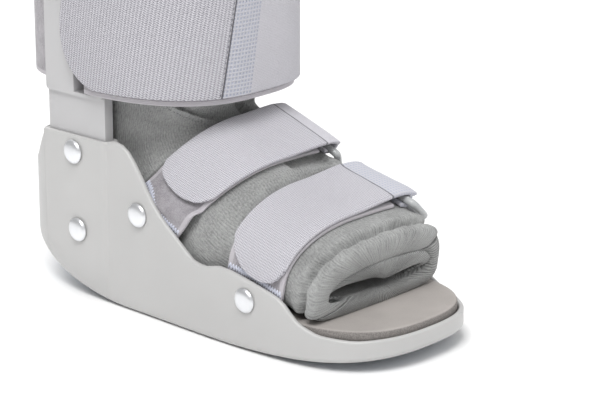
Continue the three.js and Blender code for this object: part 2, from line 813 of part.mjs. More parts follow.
function calfBaseGeometry() {
  const ys = [];
  for (let step = 1; step < calfFacets; step += 1) {
    ys.push(calfMiddle - calfDepth * Math.cos((Math.PI * step) / calfFacets));
  }
  const back = slotFront + slotWidth;
  const free = ys.filter((y) => y < slotFront - 2 || y > back + 2);
  const through = [0, 0.2, 0.4, 0.6, 0.8, 1].map((share) => (
    THREE.MathUtils.lerp(slotFront + clearance, back - clearance, share)
  ));
  const sorted = [...free, ...through].sort((a, b) => a - b);
  const side = (sign) => sorted.map((y) => {
    const cross = THREE.MathUtils.smoothstep(y, slotFront + clearance, back - clearance);
    return [calfHalf(y, THREE.MathUtils.lerp(outsideHalf, insideHalf, cross), 0, sign), y];
  });
  const loop = [[0, calfFront], ...side(-1), [0, calfBack], ...side(1).reverse()];
  const bottom = calfStrapBottom - calfBaseDrop;
  const top = calfStrapBottom + calfStrapHeight - calfBaseDrop;
  const face = (offset, height) => loop.map((point, step) => {
    const before = loop[(step + loop.length - 1) % loop.length];
    const after = loop[(step + 1) % loop.length];
    const along = new THREE.Vector2(after[0] - before[0], after[1] - before[1]).normalize();
    return new THREE.Vector3(point[0] - along.y * offset, point[1] + along.x * offset, height);
  });
  const half = strapThickness / 2;
  return skin([face(half, bottom), face(half, top), face(-half, top), face(-half, bottom)], {
    loop: true,
  });
}

function calfStrapGeometry() {
  const grow = strapThickness + softGap;
  const radius = calfStrapHeight / 2;
  const farEnd = slotFront - slotWidth;
  const front = calfMiddle - calfDepth - grow;
  const shares = [0, 0.03, 0.1, 0.22, 0.36, 0.5, 0.64, 0.78, 0.9, 0.97, 1];
  let outline;
  const rings = shares.map((share) => {
    const distance = Math.min(share, 1 - share) * calfStrapHeight;
    const end = tabReach - cornerDraw(distance, radius);
    const near = [0, 0.25, 0.5, 0.75].map((part) => (
      THREE.MathUtils.lerp(end, calfMiddle - calfDepth * 0.4, part)
    ));
    const common = [0.4, 0.56, 0.71, 0.83, 0.91, 0.965, 0.992].map((part) => (
      calfMiddle - (calfMiddle - front) * part
    ));
    const nearPath = [...near, ...common].map((y) => [calfHalf(y, outsideHalf, grow, -1), y]);
    const farPath = [farEnd, ...common].reverse().map((y) => [calfHalf(y, outsideHalf, grow, 1), y]);
    const path = [...nearPath, [0, front], ...farPath];
    outline = ribbon(path, strapThickness);
    const height = calfStrapBottom + share * calfStrapHeight;
    return outline.map(([x, y]) => new THREE.Vector3(x, y, height));
  });
  const cap = flatCap(outline);
  return skin(rings, { capStart: cap, capEnd: cap });
}

// Rivets

function rivetGeometry(spot, side) {
  const inStrut = spot === upperStrutRivet || spot === lowerStrutRivet;
  const raise = inStrut ? bossRise : 0;
  const seat = Math.max(...[-1, 0, 1].map((part) => (
    insetHalfWidth(spot.y + part * rivetRadius, -raise)
  ))) + clearance;
  const strapFace = insetHalfWidth(spot.y, wall) - softGap - strapThickness - clearance;
  const inside = inStrut ? socketInner + clearance : strapFace;
  const depth = seat - inside;
  const profile = [[0, -depth - (inStrut ? 0 : rivetTailThickness)]];
  if (!inStrut) {
    profile.push([rivetTail, -depth - rivetTailThickness], [rivetTail, -depth]);
  }
  profile.push([rivetShank, -depth], [rivetShank, 0], [rivetRadius, 0]);
  for (const angle of [0, 30, 60]) {
    const turn = THREE.MathUtils.degToRad(angle);
    const rim = rivetDome * 0.25;
    profile.push([rivetRadius * Math.cos(turn), rim + (rivetDome - rim) * Math.sin(turn)]);
  }
  profile.push([0, rivetDome]);
  const points = profile.map(([radius, height]) => new THREE.Vector2(radius, height));
  const geometry = new THREE.LatheGeometry(points, rivetFacets);
  geometry.rotateZ(side < 0 ? Math.PI / 2 : -Math.PI / 2);
  geometry.translate(side * seat, spot.y, spot.z);
  return geometryOf(solidOf(geometry));
}

// Materials
const shellPlastic = new THREE.MeshStandardMaterial({ color: 0xcfcdca, roughness: 0.45, metalness: 0 });
const strutPlastic = new THREE.MeshStandardMaterial({ color: 0xd6d5d6, roughness: 0.4, metalness: 0 });
const rubber = new THREE.MeshStandardMaterial({ color: 0x8d9bab, roughness: 0.8, metalness: 0 });
const foam = new THREE.MeshStandardMaterial({ color: 0xb9b2ad, roughness: 0.95, metalness: 0 });
const plush = new THREE.MeshStandardMaterial({ color: 0x969896, roughness: 1, metalness: 0 });
const webbing = new THREE.MeshStandardMaterial({ color: 0xd7d5da, roughness: 0.85, metalness: 0 });
const loopPile = new THREE.MeshStandardMaterial({ color: 0xbeb9be, roughness: 1, metalness: 0 });
const ringPlastic = new THREE.MeshStandardMaterial({ color: 0xd9dcdc, roughness: 0.3, metalness: 0 });
const steel = new THREE.MeshStandardMaterial({ color: 0xe6e6e8, roughness: 0.25, metalness: 1 });

// Assembly
const boot = new THREE.Group();

function add(name, geometry, material) {
  const mesh = new THREE.Mesh(geometry, material);
  mesh.name = name;
  boot.add(mesh);
}

add('shell', shellGeometry(), shellPlastic);
add('outsole', outsoleGeometry(), rubber);
add('insole_foam', insoleGeometry(), foam);
add('strut_near', strutGeometry(-1), strutPlastic);
add('strut_far', strutGeometry(1), strutPlastic);
add('liner', linerGeometry(), plush);
add('foot_flap', flapGeometry(footFlapStations, footFlapTurns), plush);
add('leg_flap', flapGeometry(legFlapStations, legFlapTurns), plush);
for (const strap of footStraps) {
  add(`${strap.name}_strap_base`, footStrapBase(strap), loopPile);
  add(`${strap.name}_strap`, footStrapTop(strap), webbing);
  add(`${strap.name}_ring`, ringGeometry(strap), ringPlastic);
  add(`${strap.name}_ring_anchor`, anchorGeometry(strap), webbing);
}
add('calf_strap_base', calfBaseGeometry(), loopPile);
add('calf_strap', calfStrapGeometry(), webbing);
for (const spot of rivetPlaces) {
  add(`rivet_${spot.name}_near`, rivetGeometry(spot, -1), steel);
  add(`rivet_${spot.name}_far`, rivetGeometry(spot, 1), steel);
}

export default boot;
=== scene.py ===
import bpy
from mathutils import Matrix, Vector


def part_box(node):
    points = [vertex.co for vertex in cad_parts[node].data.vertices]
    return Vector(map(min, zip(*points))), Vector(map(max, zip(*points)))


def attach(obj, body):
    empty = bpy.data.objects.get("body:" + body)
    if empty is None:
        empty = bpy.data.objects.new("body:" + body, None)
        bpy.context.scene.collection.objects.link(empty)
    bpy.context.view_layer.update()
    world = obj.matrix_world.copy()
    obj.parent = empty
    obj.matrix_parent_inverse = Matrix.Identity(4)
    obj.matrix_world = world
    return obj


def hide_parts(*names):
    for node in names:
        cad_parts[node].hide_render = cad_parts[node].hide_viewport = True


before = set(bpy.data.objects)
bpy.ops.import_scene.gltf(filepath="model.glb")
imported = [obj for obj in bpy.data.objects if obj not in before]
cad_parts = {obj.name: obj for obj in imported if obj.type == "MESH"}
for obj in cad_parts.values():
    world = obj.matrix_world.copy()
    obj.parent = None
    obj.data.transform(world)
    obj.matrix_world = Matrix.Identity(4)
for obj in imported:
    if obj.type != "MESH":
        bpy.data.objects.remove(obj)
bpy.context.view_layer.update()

import math
from bisect import bisect_right

import bpy
from mathutils import Matrix, Vector, noise


def clearSelection():
    if bpy.context.object and bpy.context.object.mode != "OBJECT":
        bpy.ops.object.mode_set(mode="OBJECT")
    bpy.ops.object.select_all(action="DESELECT")


def activate(piece):
    clearSelection()
    piece.select_set(True)
    bpy.context.view_layer.objects.active = piece


def applyModifier(piece, name):
    activate(piece)
    bpy.ops.object.modifier_apply(modifier=name)


def editAll(operation, **options):
    # one edit mode operator on the whole of the active mesh
    bpy.ops.object.mode_set(mode="EDIT")
    bpy.ops.mesh.select_all(action="SELECT")
    operation(**options)
    bpy.ops.object.mode_set(mode="OBJECT")


def mix(low, high, share):
    return low + (high - low) * share


def ease(low, high, value):
    share = min(1, max(0, (value - low) / (high - low)))
    return share * share * (3 - 2 * share)


def within(ends, value):
    # 1 between two soft ends, 0 outside them
    (a, b), (c, d) = ends
    return ease(a, b, value) * (1 - ease(c, d, value))


def rolled(distance, radius):
    # how much of its thickness a rolled edge has, that far from its end
    return math.sqrt(max(0, 1 - (1 - min(1, distance / radius)) ** 2))


def squarishRound(polar, wide, tall, power):
    # a point on a round that gets squarer with the power, polar from its top
    sine, cosine = math.sin(polar), math.cos(polar)
    reach = ((abs(sine) / wide) ** power + (abs(cosine) / tall) ** power) ** (-1 / power)
    return reach * sine, reach * cosine


def lengthsAlong(points):
    lengths = [0.0]
    for before, after in zip(points, points[1:]):
        lengths.append(lengths[-1] + (after - before).length)
    return lengths


def curveThrough(values, at):
    # a smooth curve through evenly spaced values, read at a fractional place
    last = len(values) - 1
    low = min(int(at), last - 1)
    t = at - low
    before = values[max(0, low - 1)]
    here, there = values[low], values[low + 1]
    after = values[min(last, low + 2)]
    return 0.5 * (2 * here + (there - before) * t
                  + (2 * before - 5 * here + 4 * there - after) * t * t
                  + (3 * here - before - 3 * there + after) * t * t * t)


def readLine(points, at):
    # a value between the given (place, value) points
    for (a, first), (b, second) in zip(points, points[1:]):
        if at <= b:
            return mix(first, second, ease(a, b, at) * 0.3 + 0.7 * (at - a) / (b - a))
    return points[-1][1]


def layOut(name, places, measures=None):
    # a grid primitive laid onto places[row][step], joined where a row or step ends at its start
    rows, steps = len(places), len(places[0])
    clearSelection()
    bpy.ops.mesh.primitive_grid_add(x_subdivisions=steps - 1, y_subdivisions=rows - 1, size=0.1)
    piece = bpy.context.active_object
    piece.name = name
    piece.data.name = name
    piece.data.vertices.foreach_set("co", [value for row in places for spot in row for value in spot])
    if measures:
        layer = piece.data.uv_layers.active.data
        flat = [pair for row in measures for pair in row]
        for loop in piece.data.loops:
            layer[loop.index].uv = flat[loop.vertex_index]
    editAll(bpy.ops.mesh.remove_doubles, threshold=0.00002)
    editAll(bpy.ops.mesh.normals_make_consistent, inside=False)
    bpy.ops.object.shade_smooth()
    return piece


# Camera, floor and lights
view = dict(
    target=(0.0203, -0.0251, 0.0610), back=(-0.705, -0.646, 0.292), distance=1.349, lens=144, sensor=36,
)
studio = dict(aim=(0, 0, 0.08), worldLight=0.47, floorSize=12, floorTone=(0.95, 0.95, 0.95))

bpy.ops.object.camera_add()
camera = bpy.context.active_object
camera.name = "photoCamera"
back = Vector(view["back"]).normalized()
camera.location = Vector(view["target"]) + back * view["distance"]
camera.rotation_mode = "QUATERNION"
camera.rotation_quaternion = (-back).to_track_quat("-Z", "Y")
camera.data.lens = view["lens"]
camera.data.sensor_width = view["sensor"]
bpy.context.scene.camera = camera

lights = [
    dict(name="keyLight", place=(-0.9, -0.5, 1.6), size=0.9, power=27),
    dict(name="fillLight", place=(0.9, -1.3, 0.9), size=1.6, power=6),
    dict(name="backLight", place=(0.6, 1.4, 1.5), size=1.4, power=17),
]
for light in lights:
    bpy.ops.object.light_add(type="AREA", location=light["place"])
    lamp = bpy.context.active_object
    lamp.name = light["name"]
    lamp.data.size = light["size"]
    lamp.data.energy = light["power"]
    lamp.rotation_euler = (Vector(studio["aim"]) - lamp.location).to_track_quat("-Z", "Y").to_euler()

world = bpy.data.worlds.new("studio")
world.use_nodes = True
background = world.node_tree.nodes["Background"]
background.inputs["Color"].default_value = (1, 1, 1, 1)
background.inputs["Strength"].default_value = studio["worldLight"]
bpy.context.scene.world = world
bpy.context.scene.view_settings.view_transform = "Standard"

clearSelection()
bpy.ops.mesh.primitive_plane_add(size=studio["floorSize"])
floor = bpy.context.active_object
floor.name = "floor"
print("stage set")


# Materials
class Nodes:
    def __init__(self, name, roughness, metallic=0.0):
        self.material = bpy.data.materials.new(name)
        self.material.use_nodes = True
        self.tree = self.material.node_tree
        self.shader = self.tree.nodes["Principled BSDF"]
        self.shader.inputs["Roughness"].default_value = roughness
        self.shader.inputs["Metallic"].default_value = metallic

    def add(self, kind, **inputs):
        node = self.tree.nodes.new(kind)
        for key, value in inputs.items():
            self.put(node, key, value)
        return node

    def put(self, node, key, value):
        socket = node.inputs[int(key[1:]) if key[0] == "i" and key[1:].isdigit() else key]
        if isinstance(value, bpy.types.NodeSocket):
            self.tree.links.new(value, socket)
        else:
            socket.default_value = value

    def place(self, pattern="object"):
        coords = self.add("ShaderNodeTexCoord")
        return coords.outputs["Object" if pattern == "object" else "UV"]

    def stretch(self, vector, scale, turn=(0, 0, 0)):
        mapping = self.add("ShaderNodeMapping", Vector=vector)
        mapping.inputs["Scale"].default_value = scale
        mapping.inputs["Rotation"].default_value = turn
        return mapping.outputs[0]

    def grain(self, vector, scale, detail=3.0, rough=0.5):
        node = self.add("ShaderNodeTexNoise", Vector=vector, Scale=scale, Detail=detail, Roughness=rough)
        return node.outputs["Fac"]

    def parts(self, vector):
        return self.add("ShaderNodeSeparateXYZ", Vector=vector).outputs

    def combine(self, operation, first, second=0.0, third=0.0):
        node = self.add("ShaderNodeMath", i0=first, i1=second, i2=third)
        node.operation = operation
        return node.outputs[0]

    def plus(self, first, second):
        return self.combine("ADD", first, second)

    def times(self, first, second):
        return self.combine("MULTIPLY", first, second)

    def timesPlus(self, first, second, third):
        return self.combine("MULTIPLY_ADD", first, second, third)

    def band(self, value, low, high, fromValue=0.0, toValue=1.0):
        node = self.add("ShaderNodeMapRange", Value=value)
        node.inputs["From Min"].default_value = low
        node.inputs["From Max"].default_value = high
        node.inputs["To Min"].default_value = fromValue
        node.inputs["To Max"].default_value = toValue
        return node.outputs[0]

    def between(self, share, first, second):
        return self.timesPlus(self.combine("SUBTRACT", second, first), share, first)

    def wave(self, value, period):
        return self.combine("SINE", self.times(value, 2 * math.pi / period))

    def blend(self, share, first, second):
        node = self.add("ShaderNodeMix")
        node.data_type = "RGBA"
        self.put(node, "i0", share)
        for index, colour in ((6, first), (7, second)):
            if isinstance(colour, bpy.types.NodeSocket):
                self.tree.links.new(colour, node.inputs[index])
            else:
                node.inputs[index].default_value = (*colour, 1)
        return node.outputs[2]

    def sheen(self, weight, roughness=0.5):
        self.shader.inputs["Sheen Weight"].default_value = weight
        self.shader.inputs["Sheen Roughness"].default_value = roughness

    def colour(self, value):
        if isinstance(value, bpy.types.NodeSocket):
            self.tree.links.new(value, self.shader.inputs["Base Color"])
        else:
            self.shader.inputs["Base Color"].default_value = (*value, 1)

    def relief(self, height, distance, strength=1.0):
        bump = self.add("ShaderNodeBump", Height=height)
        bump.inputs["Distance"].default_value = distance
        bump.inputs["Strength"].default_value = strength
        previous = self.shader.inputs["Normal"].links
        if previous:
            self.tree.links.new(previous[0].from_socket, bump.inputs["Normal"])
        self.tree.links.new(bump.outputs[0], self.shader.inputs["Normal"])


def shaded(colour, share):
    return tuple(min(1, share * value) for value in colour)


def mouldedPlastic(name, light, dark, roughness):
    look = Nodes(name, roughness)
    place = look.place()
    cloud = look.grain(place, 18, 3)
    look.colour(look.blend(look.band(cloud, 0.35, 0.65), dark, light))
    look.relief(look.grain(place, 2600, 2), 0.00003, 0.5)
    look.relief(look.grain(place, 60, 2), 0.0003, 0.12)
    return look.material


def foamSheet(name, light, dark, paintedSideShade=1.0):
    # painted shade: the sides of the foam sheet are drawn darker than its top face, by how far their normal
    # turns from up
    look = Nodes(name, 0.9)
    place = look.place()
    cloud = look.grain(place, 30, 4)
    fine = look.grain(place, 1500, 3)
    tone = look.blend(look.band(look.plus(cloud, look.times(fine, 0.4)), 0.5, 0.9), dark, light)
    if paintedSideShade < 1:
        up = look.parts(look.add("ShaderNodeNewGeometry").outputs["Normal"])[2]
        paintedShadeDark, paintedShadeLight = shaded(dark, 0.8 * paintedSideShade), shaded(light, paintedSideShade)
        side = look.blend(look.band(fine, 0.4, 0.6), paintedShadeDark, paintedShadeLight)
        # painted shade on the sides, blended in where the normal turns away from up
        tone = look.blend(look.band(up, 0.45, 0.8), side, tone)
    look.colour(tone)
    look.relief(fine, 0.00012, 0.7)
    look.relief(look.grain(place, 300, 3), 0.0002, 0.4)
    return look.material


def fleece(name, light, dark, ribs, pitch=0.0017):
    # a brushed nap that lies along the foot, over knitted ribs
    look = Nodes(name, 1.0)
    look.sheen(0.3, 0.6)
    place = look.place()
    flat = look.place("uv")
    nap = look.grain(look.stretch(flat, (950, 330, 1)), 1.0, 4, 0.65)
    tuft = look.grain(place, 1900, 3, 0.6)
    cloud = look.grain(place, 55, 3)
    waver = look.times(look.grain(look.stretch(flat, (120, 120, 1)), 1.0, 2), 0.0012)
    rows = look.wave(look.plus(look.parts(flat)[0], waver), pitch)
    height = look.plus(look.plus(nap, look.times(tuft, 0.5)), look.times(rows, ribs))
    shade = look.plus(height, look.times(cloud, 0.5))
    look.colour(look.blend(look.band(shade, 0.78, 1.28), dark, light))
    look.relief(height, 0.0011, 0.9)
    return look.material


def strapCloth(name, light, dark, blue, netWidth, column, pitch=0.00105, depth=0.0004, slant=0.2):
    # slanting loops up to the seam at u = 0, an open net beyond it, then a plain knit
    look = Nodes(name, 0.85)
    look.sheen(0.12)
    along, across = look.parts(look.place("uv"))[:2]
    tuft = look.grain(look.place(), 1900, 3, 0.6)
    zigzag = look.times(look.combine("PINGPONG", along, column), slant)
    loops = look.times(look.wave(look.plus(across, zigzag), pitch), 0.3)
    loops = look.timesPlus(look.wave(along, column), 0.22, loops)
    loops = look.timesPlus(tuft, 0.7, loops)
    net = look.combine("MAXIMUM", look.wave(along, 0.0022), look.wave(across, 0.0022))
    net = look.timesPlus(tuft, 0.3, look.times(net, 0.45))
    plain = look.timesPlus(look.wave(across, 0.0009), 0.08, look.times(tuft, 0.8))
    onLoops = look.band(along, -0.0002, 0.0002)
    onNet = look.band(along, -netWidth - 0.0006, -netWidth + 0.0006)
    height = look.between(onLoops, look.between(onNet, plain, net), loops)
    middle = tuple(0.5 * (a + b) for a, b in zip(dark, light))
    loopColour = look.blend(look.band(loops, -0.05, 0.6), dark, light)
    netColour = look.blend(look.band(net, -0.2, 0.7), blue, shaded(light, 0.9))
    plainColour = look.blend(look.band(plain, 0.2, 0.6), middle, light)
    colour = look.blend(onLoops, look.blend(onNet, plainColour, netColour), loopColour)
    line = look.band(look.combine("ABSOLUTE", along), 0.0003, 0.0009, 1.0, 0.0)
    look.colour(look.blend(line, colour, shaded(dark, 0.35)))
    look.relief(height, depth, 0.8)
    return look.material


def pileTape(name, width, hem=0.0026, soft=0.0002):
    # brushed pile with a smooth woven hem on both sides
    light, dark = (0.43, 0.41, 0.435), (0.25, 0.235, 0.255)
    look = Nodes(name, 1.0)
    look.sheen(0.35)
    place = look.place()
    across = look.parts(look.place("uv"))[1]
    tuft = look.grain(place, 1300, 4, 0.7)
    fuzz = look.plus(tuft, look.times(look.grain(place, 160, 3), 0.6))
    weave = look.timesPlus(look.wave(across, 0.0008), 0.1, look.times(tuft, 0.25))
    inside = look.times(look.band(across, hem - soft, hem + soft),
                        look.band(across, width - hem - soft, width - hem + soft, 1.0, 0.0))
    colour = look.blend(look.band(fuzz, 0.6, 1.05), dark, light)
    look.colour(look.blend(inside, shaded(light, 1.12), colour))
    look.relief(look.between(inside, weave, tuft), 0.0006, 0.9)
    return look.material


def threadLook(name, light, dark):
    look = Nodes(name, 0.7)
    twist = look.grain(look.place(), 2200, 3)
    look.colour(look.blend(look.band(twist, 0.35, 0.65), dark, light))
    look.relief(twist, 0.0001, 0.6)
    return look.material


def metal(name, tone, roughness):
    look = Nodes(name, roughness, 1.0)
    look.colour(tone)
    look.relief(look.grain(look.place(), 220, 2), 0.00006, 0.25)
    return look.material


shellPlastic = mouldedPlastic("shell plastic", (0.500, 0.497, 0.492), (0.480, 0.477, 0.472), 0.38)
strutPlastic = mouldedPlastic("strut plastic", (0.50, 0.496, 0.502), (0.48, 0.476, 0.482), 0.36)
ringPlastic = mouldedPlastic("ring plastic", (0.46, 0.47, 0.475), (0.43, 0.44, 0.445), 0.16)
soleRubber = foamSheet("sole rubber", (0.36, 0.39, 0.43), (0.31, 0.34, 0.38))
# the insole's sides get painted shade, at 0.60 of the top's tone
insoleFoam = foamSheet("insole foam", (0.415, 0.385, 0.365), (0.35, 0.325, 0.308), 0.60)
plush = fleece("liner fleece", (0.43, 0.435, 0.43), (0.19, 0.193, 0.19), 0.05)
ribbedPlush = fleece("ribbed fleece", (0.40, 0.405, 0.40), (0.15, 0.153, 0.15), 0.2)
footTones = dict(light=(0.62, 0.61, 0.65), dark=(0.34, 0.33, 0.37), blue=(0.40, 0.43, 0.52))
calfTones = dict(light=(0.565, 0.555, 0.59), dark=(0.275, 0.268, 0.30), blue=(0.34, 0.36, 0.44))
toeFabric = strapCloth("toe strap cloth", **footTones, netWidth=0.060, column=0.0013)
instepFabric = strapCloth("instep strap cloth", **footTones, netWidth=0.0, column=0.0013)
calfFabric = strapCloth("calf strap cloth", **calfTones, netWidth=0.019, column=0.0021, pitch=0.00125,
                        depth=0.0005, slant=0.6)
footPile = pileTape("strap pile", 0.0410)
calfPile = pileTape("calf strap pile", 0.0770)
paleThread = threadLook("pale thread", (0.72, 0.74, 0.82), (0.52, 0.54, 0.64))
greyThread = threadLook("grey thread", (0.30, 0.31, 0.31), (0.18, 0.185, 0.185))
darkThread = threadLook("dark thread", (0.20, 0.20, 0.22), (0.12, 0.12, 0.14))
rivetSteel = metal("rivet steel", (0.80, 0.81, 0.83), 0.36)


def finishPiece(piece, slot, material, *nodes):
    piece.data.materials.clear()
    piece.data.materials.append(material)
    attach(piece, "root")
    if nodes:
        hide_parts(*nodes)


def sewn(name, pairs, radius, slot, material):
    # one capsule of thread, copied from each start to its end
    clearSelection()
    bpy.ops.mesh.primitive_uv_sphere_add(segments=8, ring_count=6, radius=1, calc_uvs=False)
    first = bpy.context.active_object
    shape = first.data.copy()
    made = [first]
    for _ in pairs[1:]:
        made.append(bpy.data.objects.new(name, shape.copy()))
        bpy.context.collection.objects.link(made[-1])
    activate(first)
    for piece, (start, end) in zip(made, pairs):
        turn = (end - start).to_track_quat("Z", "Y").to_matrix().to_4x4()
        size = Matrix.Diagonal((radius, radius, (end - start).length / 2, 1))
        piece.data.transform(Matrix.Translation((start + end) / 2) @ turn @ size)
        piece.select_set(True)
    bpy.ops.object.join()
    bpy.ops.object.shade_smooth()
    first.name = name
    bpy.data.meshes.remove(shape)
    finishPiece(first, slot, material)


floorLook = Nodes("studio floor", 0.9)
floorLook.colour(studio["floorTone"])
floorLook.relief(floorLook.grain(floorLook.place(), 3, 2), 0.001, 0.02)
floor.data.materials.append(floorLook.material)


# Shell: plan, walls and sockets
shell = dict(
    reach=0.140, heelHalf=0.0543, ballHalf=0.058, heelEnd=0.43, ballStart=0.36,
    heelCorner=(7.5, 2.2), toeCorner=(5.7, 2.5),
    flatBack=0.038, flatFront=0.034, heelRadius=0.145, toeRadius=0.700,
    wall=0.003, soleThickness=0.0026, soleGap=0.0003, soleInset=0.004, stand=0.0008, soleEdge=0.0026,
    floorHeight=0.0155, rim=0.0195, socketTop=0.0955, lip=0.0013, cornerRound=0.0008,
    bossFace=0.0560, bossSpread=0.0046, bossEnds=((0.0526, 0.0538), (0.1032, 0.1052)),
    bossRise=(0.0050, 0.0150), middle=0.03, fillet=0.0014,
    bossRows=(0.0515, 0.0524, 0.0532, 0.0541, 0.1031, 0.1040, 0.1049),
)
# the wall's top edge from heel to toe: place along the shell, height from the rim to the socket top
wallEdge = [
    (1.05, 0.66), (0.93, 0.67), (0.86, 0.73), (0.765, 1.0), (0.385, 1.0), (0.325, 1.024), (0.27, 0.992),
    (0.226, 0.907), (0.184, 0.807), (0.131, 0.661), (0.06, 0.53), (-0.009, 0.441), (-0.116, 0.299),
    (-0.181, 0.283), (-0.256, 0.322), (-0.329, 0.312), (-0.431, 0.276), (-0.526, 0.232),
    (-0.582, 0.197), (-0.618, 0.128), (-0.658, 0.058), (-0.739, 0.001), (-0.875, -0.016), (-1.05, 0.01),
]


def halfWidth(y):
    share = min(1, abs(y) / shell["reach"])
    width = mix(shell["heelHalf"], shell["ballHalf"],
                ease(-shell["heelEnd"] * shell["reach"], shell["ballStart"] * shell["reach"], -y))
    full, rounded = shell["heelCorner"] if y > 0 else shell["toeCorner"]
    return width * max(0, 1 - share ** full) ** (1 / rounded)


def rocker(y):
    if y > shell["flatBack"]:
        return (y - shell["flatBack"]) ** 2 / (2 * shell["heelRadius"])
    if y < -shell["flatFront"]:
        return (y + shell["flatFront"]) ** 2 / (2 * shell["toeRadius"])
    return 0


def floorRise(y):
    lowest = shell["soleThickness"] + shell["soleGap"] + shell["wall"] + rocker(y)
    return max(0, lowest - shell["floorHeight"])


def edgeRise(y):
    # the top edge of the side walls, with its corners rounded off
    total = 0
    shifts = range(-3, 4)
    for shift in shifts:
        share = (y + shift * shell["cornerRound"]) / shell["reach"]
        for (a, low), (b, high) in zip(wallEdge, wallEdge[1:]):
            if share >= b:
                total += mix(high, low, (share - b) / (a - b))
                break
    return shell["rim"] + total / len(shifts) * (shell["socketTop"] - shell["rim"])


planSteps = 84
planYs = [shell["reach"] * math.cos(math.pi * step / planSteps) for step in range(planSteps + 1)]
planYs = sorted([*planYs, *shell["bossRows"]], reverse=True)
discSteps = (0.0, 0.35, 0.7, 0.97)


def planRing(inset):
    # heel, near side, toe, far side, and back to the heel
    near = []
    for step, y in enumerate(planYs):
        x = -halfWidth(y)
        if step in (0, len(planYs) - 1):
            near.append((0, y - math.copysign(inset, y)))
            continue
        gapBefore, gapAfter = planYs[step - 1] - y, y - planYs[step + 1]
        reach = min(gapBefore, gapAfter, 0.001)
        along = Vector((-halfWidth(y - reach) + halfWidth(y + reach), -2 * reach)).normalized()
        near.append((x - along.y * inset, y + along.x * inset))
    far = [(-x, y) for x, y in reversed(near[:-1])]
    return near + far


def bossPush(y, z):
    # how far the strut sockets stand out of the wall
    push = min(shell["bossFace"], halfWidth(y) + shell["bossSpread"]) - halfWidth(y)
    low, high = shell["bossRise"]
    return max(0, push) * within(shell["bossEnds"], y) * ease(rocker(y) + low, rocker(y) + high, z)


def squeezed(x, y, z, squeeze):
    # drawn in towards the middle, to close a floor
    return Vector((x * squeeze, y * mix(0.9, 1.0, squeeze), z))


def ring(inset, height, squeeze=1.0):
    spots = []
    for x, y in planRing(inset):
        z = height(y)
        push = math.copysign(bossPush(y, z), x) if abs(x) > shell["middle"] else 0
        spots.append(squeezed(x + push, y, z, squeeze))
    return spots


def buildShell():
    s = shell
    base = s["stand"] + s["soleEdge"]
    under = lambda y: s["soleThickness"] + s["soleGap"] + rocker(y)
    low = lambda y: s["floorHeight"] + floorRise(y)
    top = lambda y: edgeRise(y) - s["lip"]
    rings = [ring(s["soleInset"], under, squeeze) for squeeze in (*discSteps, 1.0)]
    rings.append(ring(s["soleInset"], lambda y: s["stand"] + 0.0005 + rocker(y)))
    rings.append(ring(s["soleInset"] - 0.0004, lambda y: s["stand"] + rocker(y)))
    for angle in (0, 22, 45, 68, 90):
        turn = math.radians(angle)
        lift = base - s["soleEdge"] * math.cos(turn)
        rings.append(ring(s["soleEdge"] * (1 - math.sin(turn)), lambda y: lift + rocker(y)))
    for share in (0.07, 0.14, 0.22, 0.32, 0.43, 0.55, 0.67, 0.78, 0.88, 0.95, 1.0):
        rings.append(ring(0, lambda y: mix(base + rocker(y), top(y), share)))
    for angle in (30, 60, 90, 120, 150):
        turn = math.radians(angle)
        inset = s["wall"] / 2 * (1 - math.cos(turn))
        rings.append(ring(inset, lambda y: top(y) + s["lip"] * math.sin(turn)))
    inner = s["wall"]
    for share in (1.0, 0.9, 0.75, 0.6, 0.45, 0.3, 0.15, 0.05):
        rings.append(ring(inner, lambda y: mix(min(low(y) + 0.001, top(y)), top(y), share)))
    rings.append(ring(inner + 0.0004, lambda y: low(y) + 0.0003))
    rings += [ring(inner + s["fillet"], low, squeeze) for squeeze in (1.0, *reversed(discSteps))]
    return layOut("rockerShell", rings)


shellPiece = buildShell()
finishPiece(shellPiece, "shell_plastic", shellPlastic, "shell")
print("shell", len(shellPiece.data.polygons))


# Strut sockets on the inside of the walls
socket = dict(
    half=0.0013, inner=0.0456, front=0.0532, back=0.1028, sink=0.001, under=0.0002,
    corner=((0.0475, 0.0), (0.0462, 0.0003), (0.0456, 0.0015)), levels=[0, 0.25, 0.5, 0.75],
    lip=[(-1, 0.001), (-0.6, 0.0002), (0, 0), (0.6, 0.0002), (1, 0.001)],
)


def buildSocket(side):
    # a low wall that starts in the shell wall, turns round the strut's foot and ends in the wall
    s = socket
    wallX = lambda y, z: halfWidth(y) + bossPush(y, z) - shell["wall"] * 0.5
    front, back = s["front"] + s["corner"][-1][1], s["back"] - s["corner"][-1][1]
    path = [(None, s["front"])] + [(x, s["front"] + turn) for x, turn in s["corner"]]
    path += [(s["inner"], mix(front, back, share)) for share in (0.1, 0.3, 0.5, 0.7, 0.9)]
    path += [(x, s["back"] - turn) for x, turn in reversed(s["corner"])] + [(None, s["back"])]
    profile = [(-1, share, 0) for share in s["levels"]] + [(part, 1, drop) for part, drop in s["lip"]]
    profile += [(1, share, 0) for share in reversed(s["levels"])] + [(0, 0, 0), (-1, 0, 0)]
    at = lambda step, z: Vector((path[step][0] or wallX(path[step][1], z), path[step][1]))
    rings = []
    for step, (_, y) in enumerate(path):
        low = shell["floorHeight"] + floorRise(y) - s["sink"]
        row = []
        for part, share, drop in profile:
            z = mix(low, shell["socketTop"] - s["under"], share) - drop
            here = at(step, z)
            along = (at(min(len(path) - 1, step + 1), z) - at(max(0, step - 1), z)).normalized()
            out = part * s["half"]
            row.append(Vector((side * (here.x - along.y * out), y + along.x * out, z)))
        closing = [Vector((side * at(step, spot.z).x, y, spot.z)) for spot in row]
        rings += [closing, row] if step == 0 else [row]
    rings.append(closing)
    return layOut("nearSocket" if side < 0 else "farSocket", rings)


for side in (-1, 1):
    finishPiece(buildSocket(side), "shell_plastic", shellPlastic)


# Outsole and insole
def plateRings(levels, limit=None):
    rings = []
    for inset, height, squeeze in levels:
        spots = []
        for x, y in planRing(inset):
            if limit:
                x = math.copysign(min(abs(x), limit(y)), x)
            spots.append(squeezed(x, y, height(y), squeeze))
        rings.append(spots)
    return rings


